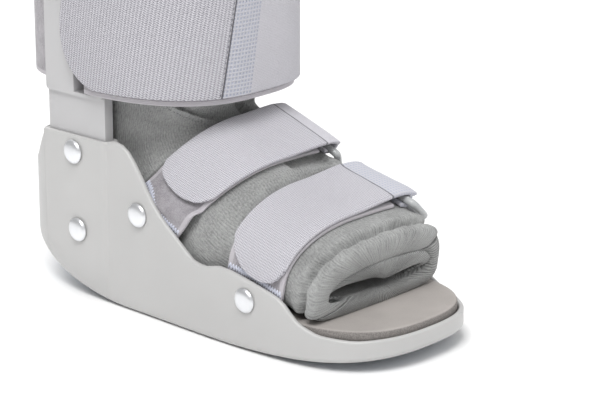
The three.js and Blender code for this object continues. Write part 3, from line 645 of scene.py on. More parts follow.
sole = dict(
    inset=0.0043, thickness=0.0026, bevel=0.0008, treadDepth=0.0010, treadPitch=0.0085, treadWidth=0.0048,
    treadEnds=(-0.122, 0.118), treadMargin=0.006, treadBow=0.006, treadSteps=16, leastReach=0.01,
    barProfile=((-1, 0.0), (-0.92, 0.75), (-0.7, 1.0), (0.7, 1.0), (0.92, 0.75), (1, 0.0)),
)


def buildOutsole():
    t = sole
    bottom = lambda y: t["treadDepth"] * 0.7 + rocker(y)
    top = lambda y: t["thickness"] + rocker(y)
    levels = [(t["inset"] + t["bevel"], bottom, squeeze) for squeeze in (*discSteps, 1.0)]
    levels += [(t["inset"] + 0.0003, lambda y: bottom(y) + 0.0002, 1.0),
               (t["inset"], lambda y: bottom(y) + 0.0006, 1.0), (t["inset"], top, 1.0)]
    levels += [(t["inset"] + 0.0006, top, squeeze) for squeeze in (1.0, *reversed(discSteps))]
    return layOut("outsolePlate", plateRings(levels))


def closedEnd(row):
    # a bar's last row drawn together along the sole
    middle = (row[0].y + row[-2].y) / 2
    return [Vector((spot.x, middle, spot.z)) for spot in row]


def buildBar(name, y, reach):
    t = sole
    rows = []
    for step in range(t["treadSteps"] + 1):
        x = mix(-reach, reach, step / t["treadSteps"])
        middle = y - t["treadBow"] * (1 - abs(x) / 0.05)
        half = t["treadWidth"] / 2 * (0.35 if step in (0, t["treadSteps"]) else 1)
        row = []
        for along, lift in t["barProfile"]:
            place = middle + along * half
            row.append(Vector((x, place, rocker(place) + t["treadDepth"] * (1 - lift))))
        rows.append([*row, row[0]])
    return layOut(name, [closedEnd(rows[0]), *rows, closedEnd(rows[-1])])


def buildTread():
    # chevron bars under the sole, each as wide as the sole is there
    made = []
    y, end = sole["treadEnds"]
    while y < end:
        reach = halfWidth(y) - sole["inset"] - sole["treadMargin"]
        if reach > sole["leastReach"]:
            made.append(buildBar(f"treadBar{len(made)}", y, reach))
        y += sole["treadPitch"]
    activate(made[0])
    for piece in made:
        piece.select_set(True)
    bpy.ops.object.join()
    made[0].name = "treadBars"
    return made[0]


insole = dict(
    inset=0.0036, low=0.0159, thickness=0.0071, round=0.0012, crown=0.0003, openLimit=0.08,
    sideLimit=0.0500, sideEnds=((-0.094, -0.084), (0.128, 0.136)),
    socketLimit=0.0436, socketEnds=((0.0475, 0.0510), (0.1050, 0.1085)),
)


def insoleLimit(y):
    # clear of the shell's walls, and of the strut sockets
    limit = mix(insole["openLimit"], insole["sideLimit"], within(insole["sideEnds"], y))
    return min(limit, mix(limit, insole["socketLimit"], within(insole["socketEnds"], y)))


def buildInsole():
    t = insole
    low = lambda y: t["low"] + floorRise(y)
    top = lambda y: low(y) + t["thickness"]
    levels = [(t["inset"] + 0.0006, low, squeeze) for squeeze in (*discSteps, 1.0)]
    levels += [(t["inset"], lambda y: low(y) + 0.0006, 1.0),
               (t["inset"] - 0.0001, lambda y: low(y) + 0.003, 1.0),
               (t["inset"], lambda y: top(y) - t["round"], 1.0),
               (t["inset"] + 0.0004, lambda y: top(y) - 0.0004, 1.0),
               (t["inset"] + t["round"], top, 1.0)]
    levels += [(t["inset"] + 0.002, lambda y, drawn=squeeze: top(y) - t["crown"] * (1 - drawn), squeeze)
               for squeeze in (1.0, *reversed(discSteps))]
    return layOut("insolePad", plateRings(levels, insoleLimit))


finishPiece(buildOutsole(), "outsole_rubber", soleRubber, "outsole")
finishPiece(buildTread(), "outsole_rubber", soleRubber)
finishPiece(buildInsole(), "insole_foam", insoleFoam, "insole_foam")
print("sole and insole")


# Struts, from the CAD shape with its edges rounded
strutEdge = dict(width=0.0014, segments=4, flatAngle=1, sharpAngle=40, smoothAngle=35)


def copyOf(node, name):
    # a CAD node's mesh with its loose triangles joined
    piece = bpy.data.objects.new(name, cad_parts[node].data.copy())
    bpy.context.collection.objects.link(piece)
    activate(piece)
    bpy.ops.mesh.customdata_custom_splitnormals_clear()
    editAll(bpy.ops.mesh.remove_doubles, threshold=0.000005)
    return piece


def buildStrut(side):
    piece = copyOf(f"strut_{side}", f"{side}Strut")
    editAll(bpy.ops.mesh.dissolve_limited, angle_limit=math.radians(strutEdge["flatAngle"]))
    bevel = piece.modifiers.new("roundEdges", "BEVEL")
    bevel.width = strutEdge["width"]
    bevel.segments = strutEdge["segments"]
    bevel.limit_method = "ANGLE"
    bevel.angle_limit = math.radians(strutEdge["sharpAngle"])
    applyModifier(piece, "roundEdges")
    bpy.ops.object.shade_smooth_by_angle(angle=math.radians(strutEdge["smoothAngle"]))
    return piece


for side in ("near", "far"):
    finishPiece(buildStrut(side), "strut_plastic", strutPlastic, f"strut_{side}")
print("struts")


# Liner sections: one row for each that crosses the foot or the leg
linerShape = dict(
    reach=0.140, footbed=0.0233, collar=0.262, footHalf=0.0504, legHalf=0.0441, wall=0.009,
)
# front y, front z, back y, back z, foot, leg, waist, near, far, sole
linerRows = [
    (-0.757, 0.136, -0.721, 0, 0.98, 0, 0.4, 2.3, 3, 4),
    (-0.607, 0.181, -0.554, 0, 1, 0, 0.4, 2.2, 4.4, 4),
    (-0.464, 0.202, -0.409, 0, 1, 0, 0.4, 2.2, 4.5, 4),
    (-0.321, 0.223, -0.254, 0, 1, 0, 0.4, 2.2, 4.5, 4),
    (-0.221, 0.271, 0.153, 0, 0.8, 0.18, 0.42, 2.2, 4.5, 4),
    (-0.086, 0.309, 0.343, 0, 0.4, 0.58, 0.42, 2.2, 4.5, 3.6),
    (0.043, 0.344, 0.519, 0, 0.1, 0.87, 0.44, 2.2, 4.2, 3.2),
    (0.064, 0.363, 0.743, 0.028, 0, 0.95, 0.48, 2.2, 3.4, 2.8),
    (0.064, 0.38, 0.871, 0.078, 0, 0.94, 0.5, 2.3, 2.8, 2.6),
    (0.036, 0.401, 0.929, 0.171, 0, 0.95, 0.5, 2.4, 2.5, 2.5),
    (-0.014, 0.42, 0.943, 0.3, 0, 0.97, 0.5, 2.4, 2.7, 2.5),
    (-0.036, 0.447, 0.957, 0.447, 0, 1, 0.5, 2.4, 3.3, 2.5),
    (-0.05, 0.594, 0.979, 0.606, 0, 1, 0.5, 2.4, 3.3, 2.5),
    (-0.043, 0.761, 0.979, 0.774, 0, 1, 0.5, 2.4, 3.3, 2.5),
    (-0.014, 0.95, 0.95, 1, 0, 1, 0.5, 2.4, 3.3, 2.5),
]


linerEnd = len(linerRows) - 1
polarSteps = 120
polars = [math.pi * step / polarSteps for step in range(polarSteps + 1)]


class Section:
    # a cut through the liner at a station: an arc is a length round it from the middle of its front,
    # negative on the near side, and grow is a distance out of the liner's surface
    def __init__(self, station):
        values = [curveThrough([row[column] for row in linerRows], station) for column in range(10)]
        frontY, frontZ, backY, backZ, foot, leg, self.waist, self.near, self.far, self.sole = values
        height = lambda share: mix(linerShape["footbed"], linerShape["collar"], share)
        front = Vector((frontY * linerShape["reach"], height(frontZ)))
        self.back = Vector((backY * linerShape["reach"], height(max(0, backZ))))
        self.length = (front - self.back).length
        self.rise = (front - self.back).normalized()
        self.half = foot * linerShape["footHalf"] + leg * linerShape["legHalf"]
        self.girths = {}
        for side in (-1, 1):
            self.girths[side] = lengthsAlong([Vector(self.outline(side * polar, 0)) for polar in polars])

    def quarter(self, cosine, near):
        # how square and how tall the quarter on that side is
        if cosine < 0:
            return self.sole, self.waist * self.length
        return (self.near if near else self.far), (1 - self.waist) * self.length

    def outline(self, polar, grow):
        power, tall = self.quarter(math.cos(polar), polar < 0)
        x, up = squarishRound(polar, self.half + grow, tall + grow, power)
        return x, self.waist * self.length + up

    def flat(self, arc, grow):
        arcs = self.girths[-1 if arc < 0 else 1]
        distance = min(abs(arc), arcs[-1])
        low = min(bisect_right(arcs, distance), polarSteps) - 1
        share = (distance - arcs[low]) / max(1e-9, arcs[low + 1] - arcs[low])
        polar = math.copysign(mix(polars[low], polars[low + 1], share), arc)
        return Vector(self.outline(polar, grow))

    def lift(self, x, up):
        return Vector((x, self.back.x + self.rise.x * up, self.back.y + self.rise.y * up))

    def spot(self, arc, grow=0.0):
        return self.lift(*self.flat(arc, grow))

    def arcOfTurn(self, turn):
        # turn runs from 0 on the instep to half a turn round the near side (negative) or the far one
        angle = abs(turn) * 2 * math.pi
        cosine = math.cos(angle)
        power, tall = self.quarter(cosine, turn < 0)
        x = self.half * abs(math.sin(angle)) ** (2 / power)
        y = math.copysign(tall * abs(cosine) ** (2 / power), cosine)
        at = math.atan2(x, y) / math.pi * polarSteps
        low = min(int(at), polarSteps - 1)
        arcs = self.girths[-1 if turn < 0 else 1]
        return math.copysign(mix(arcs[low], arcs[low + 1], at - low), turn)


sectionCache = {}


def sectionAt(station):
    key = round(station, 4)
    if key not in sectionCache:
        sectionCache[key] = Section(station)
    return sectionCache[key]


runSteps = 140
runSections = [sectionAt(linerEnd * step / runSteps) for step in range(runSteps + 1)]
runs = lengthsAlong([section.lift(0, section.length * 0.6) for section in runSections])


def runTo(station):
    # distance along the liner from the toe edge
    at = min(station, linerEnd) / linerEnd * runSteps
    low = max(0, min(int(at), runSteps - 1))
    return mix(runs[low], runs[low + 1], at - low)


# near and far: the panel's sides as parts of a turn; start and end: stations; over: steps across
footFlap = dict(near=-11 / 32, far=5 / 32, start=0, end=6, over=96, pace=0.036,
                thick=0.005, frontThick=0.0086, taper=0, sink=0)
legFlap = dict(near=-9 / 32, far=2 / 32, start=10.5, end=14, over=40, pace=0.08,
               thick=0.005, frontThick=0.005, taper=0, sink=0)
toeTongue = dict(near=-0.345, far=0.350, start=-0.02, end=1.6, over=90, pace=0.05,
                 thick=0.0092, frontThick=0.0098, taper=0.026, sink=0.0086)
pressed = dict(zones=((1.0, 3.0), (4.0, 6.0)), fade=0.35)


def underStrap(station):
    # 1 where a foot strap presses the padding flat, 0 between the straps
    fade = pressed["fade"]
    return max(within(((low - fade, low), (high, high + fade)), station) for low, high in pressed["zones"])


def flapCover(station, arc, section):
    # 1 where a flap lies over the body
    for flap in (footFlap, legFlap):
        if flap["start"] - 0.01 <= station <= flap["end"] + 0.01:
            near, far = section.arcOfTurn(flap["near"]), section.arcOfTurn(flap["far"])
            return within(((near - 0.002, near + 0.002), (far - 0.002, far + 0.002)), arc)
    return 0


ankle = dict(
    seam=[(6.0, -0.0100), (7, -0.0160), (8, -0.0224), (9, -0.0318), (10, -0.0440), (10.8, -0.0545)],
    step=0.0030, ridge=0.0017, ridgeHalf=0.0014,
    gap=((10.6, 0.0010), (7.0, 0.0130)), gapDepth=0.0042, gapHalf=0.0017,
    ends=((6.02, 6.12), (10.45, 10.7)), stitchAside=0.0036,
)


def lineAt(line, station):
    (a, first), (b, second) = line
    return mix(first, second, (station - a) / (b - a))


def soften(station, arc, amount=0.0007):
    # the slight unevenness of padding
    place = Vector((arc, runTo(station), 0.0))
    return amount * (noise.noise(place * 48) + 0.4 * noise.noise(place * 150))


def bodyRelief(station, arc):
    # a sewn ridge over the ankle, the layer below it, and a gap before the far panel
    inside = within(ankle["ends"], station)
    if not inside:
        return 0
    seam = arc - readLine(ankle["seam"], station)
    gap = arc - lineAt(ankle["gap"], station)
    ridge = ankle["ridge"] * math.exp(-(seam / ankle["ridgeHalf"]) ** 2)
    lower = -ankle["step"] * ease(0.0005, 0.0030, seam) * (1 - ease(-0.0008, 0.0012, gap))
    split = -ankle["gapDepth"] * math.exp(-(gap / ankle["gapHalf"]) ** 2)
    return inside * (ridge + lower + split)


body = dict(
    seams=(-0.062, 0.030), flapRoom=0.0053, tuck=0.0034, tuckReach=0.2, front=0.34,
    steps=[0, 0.03, 0.08, 0.14, 0.2, 0.3, 0.38, 0.43, 0.46, 0.49, 0.54],
)
for spanStart, spanEnd, spanSteps in ((0.6, 6.15, 36), (6.2, 10.7, 60), (10.8, 13.8, 22)):
    body["steps"] += [mix(spanStart, spanEnd, step / spanSteps) for step in range(spanSteps + 1)]
body["steps"] += [13.9, 13.96, linerEnd]


def bodyArcs(section):
    # closer steps over the instep, where the seams are
    low, high = body["seams"]
    spans = ((-section.girths[-1][-1], low, 34), (low, high, 74), (high, section.girths[1][-1], 36))
    arcs = [mix(start, end, step / count) for start, end, count in spans for step in range(count)]
    return arcs + [section.girths[1][-1]]


def hemTuck(station):
    return body["tuck"] * (1 - rolled(min(station, linerEnd - station), body["tuckReach"]))


def bodyFront(station, cover):
    # the body ends a little behind the flap's thick toe hem
    return max(station, body["front"] * cover) if station < 7 else station


def bodyGrow(station, arc, cover):
    free = (1 - underStrap(station)) * soften(station, arc, 0.0005)
    return ((1 - cover) * (hemRelief(station, arc) + free) + bodyRelief(station, arc)
            - body["flapRoom"] * cover - hemTuck(station))


def bodyRows(stations, growAt):
    rows, flats = [], []
    for station in stations:
        section = sectionAt(station)
        row, flat = [], []
        for arc in bodyArcs(section):
            cover = flapCover(station, arc, section)
            section = sectionAt(bodyFront(station, cover))
            row.append(section.spot(arc, growAt(station, arc, cover)))
            flat.append((arc, runTo(station)))
        rows.append(row)
        flats.append(flat)
    return rows, flats


def buildLinerBody():
    # the outer side from toe to collar, then the inner side back to the toe
    steps = body["steps"]
    outer, outerFlat = bodyRows(steps, bodyGrow)
    inner, innerFlat = bodyRows([linerEnd, *reversed(steps[::3])],
                                lambda station, arc, cover: hemTuck(station) - linerShape["wall"])
    return layOut("linerBody", outer + inner + [outer[0]], outerFlat + innerFlat + [outerFlat[0]])


hem = dict(station=0.46, half=0.062, depth=0.0034, puff=0.0019)


def hemLine(arc):
    return hem["station"] + 0.016 * math.sin(arc * 430) + 0.010 * math.sin(arc * 1010 + 1)


def hemRelief(station, arc):
    # the rolled toe hem and the wavy sewn groove behind it
    line = hemLine(arc)
    groove = -hem["depth"] * math.exp(-((station - line) / hem["half"]) ** 2)
    roll = hem["puff"] * math.sin(math.pi * min(1, station / line)) if 0 < station < line else 0
    behind = 0.5 * hem["puff"] * math.exp(-((station - line - 0.16) / 0.1) ** 2)
    return groove + roll + behind


def buildFlap(name, flap, puff, lead=None):
    # a padded panel with a rolled edge: rows along the foot, steps over the top and back below
    start, end, over = flap["start"], flap["end"], flap["over"]
    edges = (0, 0.015, 0.04, 0.08, 0.12)
    count = int((end - start - 2 * edges[-1]) / flap["pace"])
    stations = [start + edge for edge in edges]
    stations += [mix(start + edges[-1], end - edges[-1], step / count) for step in range(1, count)]
    stations += [end - edge for edge in reversed(edges)]
    places, measures = [], []
    for station in stations:
        row, flat = [], []
        close = rolled(min(station - start, end - station), edges[-1])
        thickHere = mix(flap["frontThick"], flap["thick"], ease(0.12, 0.42, station - start))
        near, far = (sectionAt(station).arcOfTurn(flap[edge]) for edge in ("near", "far"))
        for number in range(2 * over):
            under = number > over
            share = (2 * over - number if under else number) / over
            share = mix(share, 0.5 - 0.5 * math.cos(math.pi * share), 0.4)
            arc = mix(near, far, share)
            side = min(arc - near, far - arc)
            ahead = lead(arc, side) * (end - station) / (end - start) if lead else 0
            thick = thickHere * (mix(0.1, 1, ease(0, flap["taper"], side)) if flap["taper"] else 1)
            level = -thick if under else puff(station, arc)
            grow = mix(-thick / 2, level, rolled(side, 0.0028) * close) - flap["sink"]
            row.append(sectionAt(station + ahead).spot(arc, grow))
            flat.append((arc, runTo(station)))
        places.append(row + [row[0]])
        measures.append(flat + [flat[0]])
    for index in (0, -1):
        row = places[index]
        count = len(row) - 1
        closing = [(row[step % count] + row[(count - step) % count]) / 2 for step in range(len(row))]
        places.insert(0 if index == 0 else len(places), closing)
        measures.insert(0 if index == 0 else len(measures), measures[index])
    return layOut(name, places, measures)


def ribbedEnd(piece, reach):
    # ribs show on the toe hem
    piece.data.materials.append(ribbedPlush)
    layer = piece.data.uv_layers.active.data
    for face in piece.data.polygons:
        if max(layer[loop].uv[1] for loop in face.loop_indices) <= reach:
            face.material_index = 1


swell = dict(skin=0.0002, middle=0.0022, middleAt=3.5, toe=0.0018, toeEnd=2.9, leg=0.0003, tongue=0.0004)
notch = dict(
    left=((4.10, 0.0), (3.35, 0.003)), front=((0.004, 3.56), (0.038, 3.42)), back=(4.1, 4.3),
    far=0.034, depth=0.0038,
)


def footPuff(station, arc):
    # swollen between the straps, with a notch cut in its edge between them
    free = 1 - underStrap(station)
    left = arc - lineAt(notch["left"], station)
    front = lineAt(notch["front"], arc)
    cut = ease(0.0002, 0.0020, left) * (1 - ease(notch["far"], notch["far"] + 0.002, arc))
    cut *= ease(front, front + 0.08, station) * (1 - ease(*notch["back"], station))
    bulge = swell["toe"]
    if station > swell["toeEnd"]:
        bulge = swell["middle"] * (1 - 0.5 * ease(0, 0.8, abs(station - swell["middleAt"])))
    padding = swell["skin"] + bulge * free + free * soften(station, arc)
    return padding + hemRelief(station, arc) - notch["depth"] * cut


def tonguePuff(station, arc):
    return swell["tongue"] + soften(station, arc, 0.0004)


def tongueLead(arc, side):
    # the folded panel starts behind the hem on the near side, before it on the far side, and thins
    # away well behind it at both ends
    middle = mix(0.13, -0.13, ease(-0.055, 0.035, arc))
    return mix(0.34, middle, ease(0.002, 0.022, side))


linerPiece = buildLinerBody()
finishPiece(linerPiece, "liner_fleece", plush, "liner")
ribbedEnd(linerPiece, runTo(hem["station"]) + 0.0002)
footFlapPiece = buildFlap("footFlap", footFlap, footPuff)
finishPiece(footFlapPiece, "liner_fleece", plush, "foot_flap")
legFlapPiece = buildFlap("legFlap", legFlap, lambda station, arc: swell["leg"])
finishPiece(legFlapPiece, "liner_fleece", plush, "leg_flap")
tonguePiece = buildFlap("toeTongue", toeTongue, tonguePuff, tongueLead)
finishPiece(tonguePiece, "liner_fleece", ribbedPlush)
print("liner", len(linerPiece.data.polygons))


# Straps: thickness, gaps and where each part ends round the foot
strapSize = dict(
    thickness=0.0023, gap=0.0005, bar=0.0015, barPlay=0.0008, wallPlay=0.0007, edge=0.0007,
    foldReach=0.0134, seamStep=0.0004, stitchAside=0.0012, tipLift=0.0006, tipReach=0.008,
)
# thread: the radius of the stitches, dash: how much of its pitch a stitch fills
stitch = dict(
    footThread=0.00028, calfThread=0.0003, zigzagThread=0.00050, linerThread=0.00035,
    strapDash=0.55, linerDash=0.6, clear=0.0001, zigzag=(0.0006, 0.0046), zigzagSteps=44,
)
halfThick = strapSize["thickness"] / 2
baseGrow = strapSize["gap"] + halfThick
topGrow = baseGrow + strapSize["thickness"] + strapSize["gap"]
turnRadius = strapSize["bar"] + strapSize["barPlay"] + halfThick
foldGrow = baseGrow + 2 * turnRadius
# rows: the stations of both edges. Pairs run from the first edge to the second, and outline is how
# far the rounded tip draws back across the strap
footStraps = [
    dict(name="toe", rows=(1, 3), rivetHeight=0.0294, baseEnd=0.05, fold=0.098, tip=-0.0650,
         leave=-8 / 32, drop=(1.16, 1.16), seam=(0.0392, 0.0352), hidden=(0.0020, 0.0020),
         cloth=toeFabric,
         outline=[(0, 0.0125), (0.03, 0.0085), (0.08, 0.0050), (0.16, 0.0022), (0.27, 0.0006), (0.40, 0),
                  (0.55, 0.0005), (0.69, 0.0019), (0.80, 0.0044), (0.88, 0.0072), (0.94, 0.0102),
                  (0.975, 0.0130), (1, 0.0175)]),
    dict(name="instep", rows=(4, 6), rivetHeight=0.0587, baseEnd=0.05, fold=0.098, tip=-0.0573,
         leave=-6 / 32, drop=(2.6, -0.29), seam=(0.0290, 0.0300), hidden=(0.0012, 0.0150),
         cloth=instepFabric,
         outline=[(0, 0.0110), (0.03, 0.0078), (0.08, 0.0047), (0.16, 0.0023), (0.30, 0.0005), (0.45, 0),
                  (0.63, 0.0007), (0.78, 0.0024), (0.88, 0.0043), (0.94, 0.0062), (0.975, 0.0085),
                  (1, 0.0125)]),
]
rivetRadius = 0.0069


def resample(points, count, finer=12):
    # evenly spaced points on a smooth curve through the given ones, and its length
    axes = list(zip(*points))
    places = [step / finer for step in range((len(points) - 1) * finer + 1)]
    dense = [Vector([curveThrough(axis, at) for axis in axes]) for at in places]
    reach = lengthsAlong(dense)
    even, low = [], 0
    for step in range(count):
        goal = reach[-1] * step / (count - 1)
        while low < len(reach) - 2 and reach[low + 1] < goal:
            low += 1
        span = max(1e-9, reach[low + 1] - reach[low])
        even.append(dense[low].lerp(dense[low + 1], (goal - reach[low]) / span))
    return even, reach[-1]


def leftOf(before, after):
    along = (after - before).normalized()
    return Vector((-along.y, along.x))


def edgeThin(distance):
    # how thick a strap still is near its edge
    return rolled(distance, strapSize["edge"])


def spread(count, edge, parts):
    # even shares from 0 to 1, with closer ones at both ends to round them off
    near = [0, *(edge * part for part in parts), edge]
    middle = [mix(edge, 1 - edge, step / count) for step in range(1, count)]
    return near + middle + [1 - share for share in reversed(near)]


def strapShares(width, inner=14):
    return spread(inner, strapSize["edge"] / width, (0.12, 0.4, 0.75))


def alongPath(points, count):
    fine = 160
    even, length = resample(points, fine)
    path = []
    for share in spread(count, strapSize["edge"] / length, (0.1, 0.35, 0.7)):
        low = min(int(share * (fine - 1)), fine - 2)
        path.append(even[low].lerp(even[low + 1], share * (fine - 1) - low))
    return path


def bandFrom(name, paths, width, shares, liftTo, zero=None, fromStart=False, step=0.0):
    # paths are points in a plane, one path for each share of the width; liftTo(share, point) puts a
    # point in space; zero(share) is how far from the far end the seam is, and step how thick the
    # layer before it is
    tops, bottoms, flats = [], [], []
    for path, share in zip(paths, shares):
        lengths = lengthsAlong(path)
        thin = max(0.12, edgeThin(min(share, 1 - share) * width))
        seam = zero(share) if zero else 0
        top, bottom, flat = [], [], []
        for number, (point, length) in enumerate(zip(path, lengths)):
            left = leftOf(path[max(0, number - 1)], path[min(len(path) - 1, number + 1)])
            end = edgeThin(min(length, lengths[-1] - length))
            reach = (length if fromStart else lengths[-1] - length) - seam
            rise = step * thin * ease(-0.0006, 0.0006, reach) * end
            top.append(liftTo(share, point + left * (halfThick * thin * end + rise)))
            bottom.append(liftTo(share, point - left * (halfThick * thin * end)))
            flat.append((reach, share * width))
        tops.append(top)
        bottoms.append(bottom)
        flats.append(flat)
    places, measures = [], []
    for number in range(len(paths[0])):
        row = [line[number] for line in (*tops, *reversed(bottoms))]
        flat = [line[number] for line in (*flats, *reversed(flats))]
        places.append(row + [row[0]])
        measures.append(flat + [flat[0]])
    return layOut(name, places, measures)


def dashed(name, count, ends, fill, placeAt, radius, slot, material):
    # short stitches between two ends of a line, and placeAt(value) is a place on it
    values = [mix(*ends, (step + part) / count) for step in range(count) for part in (0.0, fill)]
    places = [placeAt(value) for value in values]
    sewn(name, list(zip(places[::2], places[1::2])), radius, slot, material)


def topLevel(strap, section, arc):
    # how far over the liner the outer strap runs
    rise = ease(section.arcOfTurn(-0.01), section.arcOfTurn(strap["fold"]), arc)
    tipLift = strapSize["tipLift"] * math.exp(-((arc - strap["tip"]) / strapSize["tipReach"]) ** 2)
    return mix(topGrow, foldGrow, rise) + tipLift


def topPath(strap, share):
    # from the tip over the liner, round the ring's bar, and back below to the end of the base strip
    section = sectionAt(mix(*strap["rows"], share))
    end = strap["tip"] + readLine(strap["outline"], share)
    fold = section.arcOfTurn(strap["fold"])
    arcs = [mix(end, fold, step / 21) for step in range(22)]
    points = [section.flat(arc, topLevel(strap, section, arc)) for arc in arcs]
    before, after = section.flat(fold - 0.002, baseGrow), section.flat(fold + 0.002, baseGrow)
    tangent, normal = (after - before).normalized(), leftOf(before, after)
    if normal.y < 0:
        normal = -normal
    centre = section.flat(fold, baseGrow) + normal * turnRadius
    for angle in (20, 50, 90, 130, 165):
        turn = math.radians(angle)
        points.append(centre + normal * math.cos(turn) * turnRadius + tangent * math.sin(turn) * turnRadius)
    last = section.arcOfTurn((strap["baseEnd"] + strap["fold"]) / 2)
    points += [section.flat(mix(fold - 0.002, last, part), baseGrow) for part in (0.0, 0.5, 1.0)]
    return alongPath(points, 130)


def wallSpot(section, height):
    # in the near wall's inner face, at a height
    up = (height - section.back.y) / section.rise.y
    y = section.back.x + section.rise.x * up
    return Vector((shell["wall"] + strapSize["wallPlay"] + halfThick - halfWidth(y), up))


def basePath(strap, share):
    # from the rivet up the inside of the wall and over the liner
    section = sectionAt(mix(*strap["rows"], share))
    low = strap["rivetHeight"] - rivetRadius * mix(*strap["drop"], share)
    high = max(strap["rivetHeight"], low) + rivetRadius
    points = [wallSpot(section, mix(low, high, part)) for part in (0, 0.35, 0.7, 1)]
    start, end = section.arcOfTurn(strap["leave"]), section.arcOfTurn(strap["baseEnd"])
    points += [section.flat(mix(start, end, step / 19), baseGrow) for step in range(20)]
    return alongPath(points, 90)


def footBand(strap, part, pathAt, **seam):
    first, last = strap["rows"]
    width = (sectionAt(first).spot(0) - sectionAt(last).spot(0)).length
    shares = strapShares(width)
    sections = {share: sectionAt(mix(first, last, share)) for share in shares}
    paths = [pathAt(strap, share) for share in shares]
    return bandFrom(f"{strap['name']}Strap{part}", paths, width, shares,
                    lambda share, point: sections[share].lift(*point), **seam)


def overWall(strap, share, beyond):
    # the place on the base strip that far past the line where it leaves the shell
    section = sectionAt(mix(*strap["rows"], share))
    path = resample(basePath(strap, share), 300)[0]
    reach = None
    for before, after in zip(path, path[1:]):
        spot = section.lift(*before)
        if reach is None and spot.z > edgeRise(spot.y) - mix(*strap["hidden"], share):
            reach = 0
        if reach is not None:
            reach += (after - before).length
            if reach >= beyond:
                break
    return section.lift(*(before + leftOf(before, after) * (halfThick + stitch["clear"])))


def sewFootStrap(strap):
    # stitches beside the seam, and a zigzag over the end of the base strip
    def besideSeam(share):
        section = sectionAt(mix(*strap["rows"], share))
        seam = section.arcOfTurn(strap["fold"]) - mix(*strap["seam"], share) + strapSize["foldReach"]
        arc = seam + strapSize["stitchAside"]
        return section.spot(arc, topLevel(strap, section, arc) + halfThick)

    name = strap["name"]
    dashed(f"{name}SeamStitches", 15, (0.04, 0.96), stitch["strapDash"], besideSeam, stitch["footThread"],
           "strap_webbing", darkThread)
    count = stitch["zigzagSteps"]
    turns = [overWall(strap, mix(0.02, 0.98, step / count), stitch["zigzag"][step % 2])
             for step in range(count + 1)]
    sewn(f"{name}EndStitches", list(zip(turns, turns[1:])), stitch["zigzagThread"],
         "strap_pile", paleThread)


for strap in footStraps:
    name = strap["name"]
    finishPiece(footBand(strap, "Base", basePath), "strap_pile", footPile, f"{name}_strap_base")
    strapTop = footBand(strap, "Top", topPath, zero=lambda share: mix(*strap["seam"], share),
                        step=strapSize["seamStep"])
    finishPiece(strapTop, "strap_webbing", strap["cloth"], f"{name}_strap")
    sewFootStrap(strap)
print("foot straps")


# Calf straps: plan loops, inside the struts behind their slots and outside them in front
calf = dict(
    bottom=0.1255, height=0.077, drop=0.004, front=-0.00865, back=0.1415,
    inside=0.04555, outside=0.05665, near=2.4, far=3.4, rear=3.3, crossing=(0.065, 0.077), farEnd=0.050,
    tabEnd=0.0822, tabHeight=0.158, tabReach=0.031, wave=0.00045, waveAbout=(0, 0.06), waveSteps=40,
    seam=((0.1278, -0.0242), (0.1796, -0.0152)), seamStep=0.00045, stitchAside=0.0016, stitchClear=0.00035,
)


def calfPoint(polar, grow, half=calf["outside"]):
    # polar runs from 0 at the shin to pi at the back of the leg, negative round the near side
    middle = (calf["front"] + calf["back"]) / 2
    power = calf["rear"]
    if math.cos(polar) > 0:
        power = calf["near"] if polar < 0 else calf["far"]
    x, ahead = squarishRound(polar, half + grow, calf["back"] - middle + grow, power)
    return Vector((x, middle - ahead))


def tabEdge(z):
    # where the outer strap ends behind, at a height
    low, high = calf["bottom"] - 0.0002, calf["bottom"] + calf["height"] + 0.0002
    middle = calf["tabHeight"]
    share = (middle - z) / (middle - low) if z < middle else (z - middle) / (high - middle)
    return calf["tabEnd"] - calf["tabReach"] * (1 - math.sqrt(1 - min(1, share) ** 2))


def calfPath(share):
    # from the far end round the shin to the tab, with a slight wave in the cloth
    start = tabEdge(calf["bottom"] + share * calf["height"])
    grow = strapSize["thickness"] + strapSize["gap"]
    dense = [calfPoint(math.radians(angle), grow) for angle in range(-130, 131)]
    points = []
    for before, point in zip([dense[0]] + dense, dense):
        if point.x < 0 and point.y > start or point.x > 0 and point.y > calf["farEnd"]:
            continue
        if not points:
            points.append(before.lerp(point, (before.y - start) / (before.y - point.y)))
        points.append(point)
    wave = calf["wave"] * math.sin(share * 7 + 1)
    for number, point in enumerate(points):
        fade = math.exp(-((number - len(points) / 4) / calf["waveSteps"]) ** 2)
        points[number] = point + (point - Vector(calf["waveAbout"])).normalized() * wave * fade
    return alongPath(points[:-1:4] + [points[-1]], 230)[::-1]


def reachTo(path, x):
    # the length of a path up to where it crosses x
    total = 0.0
    for before, after in zip(path, path[1:]):
        step = (after - before).length
        if after.x < x:
            return total + step * (before.x - x) / (before.x - after.x)
        total += step
    return total


def buildCalfTop():
    width = calf["height"]
    shares = strapShares(width, 30)
    paths = [calfPath(share) for share in shares]
    levelOf = lambda share: calf["bottom"] + share * width
    zeros = {}
    for path, share in zip(paths, shares):
        zeros[share] = reachTo(path, lineAt(calf["seam"], levelOf(share)))
    return bandFrom("calfStrapTop", paths, width, shares,
                    lambda share, point: Vector((*point, levelOf(share))), zeros.get, True, calf["seamStep"])


def sewCalfStrap():
    grow = 3 * halfThick + strapSize["gap"] + calf["stitchClear"]
    front = [calfPoint(math.radians(angle / 4), grow) for angle in range(-240, 60)]

    def besideSeam(share):
        z = calf["bottom"] + calf["height"] * share
        x = lineAt(calf["seam"], z) - calf["stitchAside"]
        spot = min(front, key=lambda point: abs(point.x - x))
        return Vector((x, spot.y, z))

    dashed("calfSeamStitches", 25, (0.02, 0.98), stitch["strapDash"], besideSeam, stitch["calfThread"],
           "strap_webbing", darkThread)


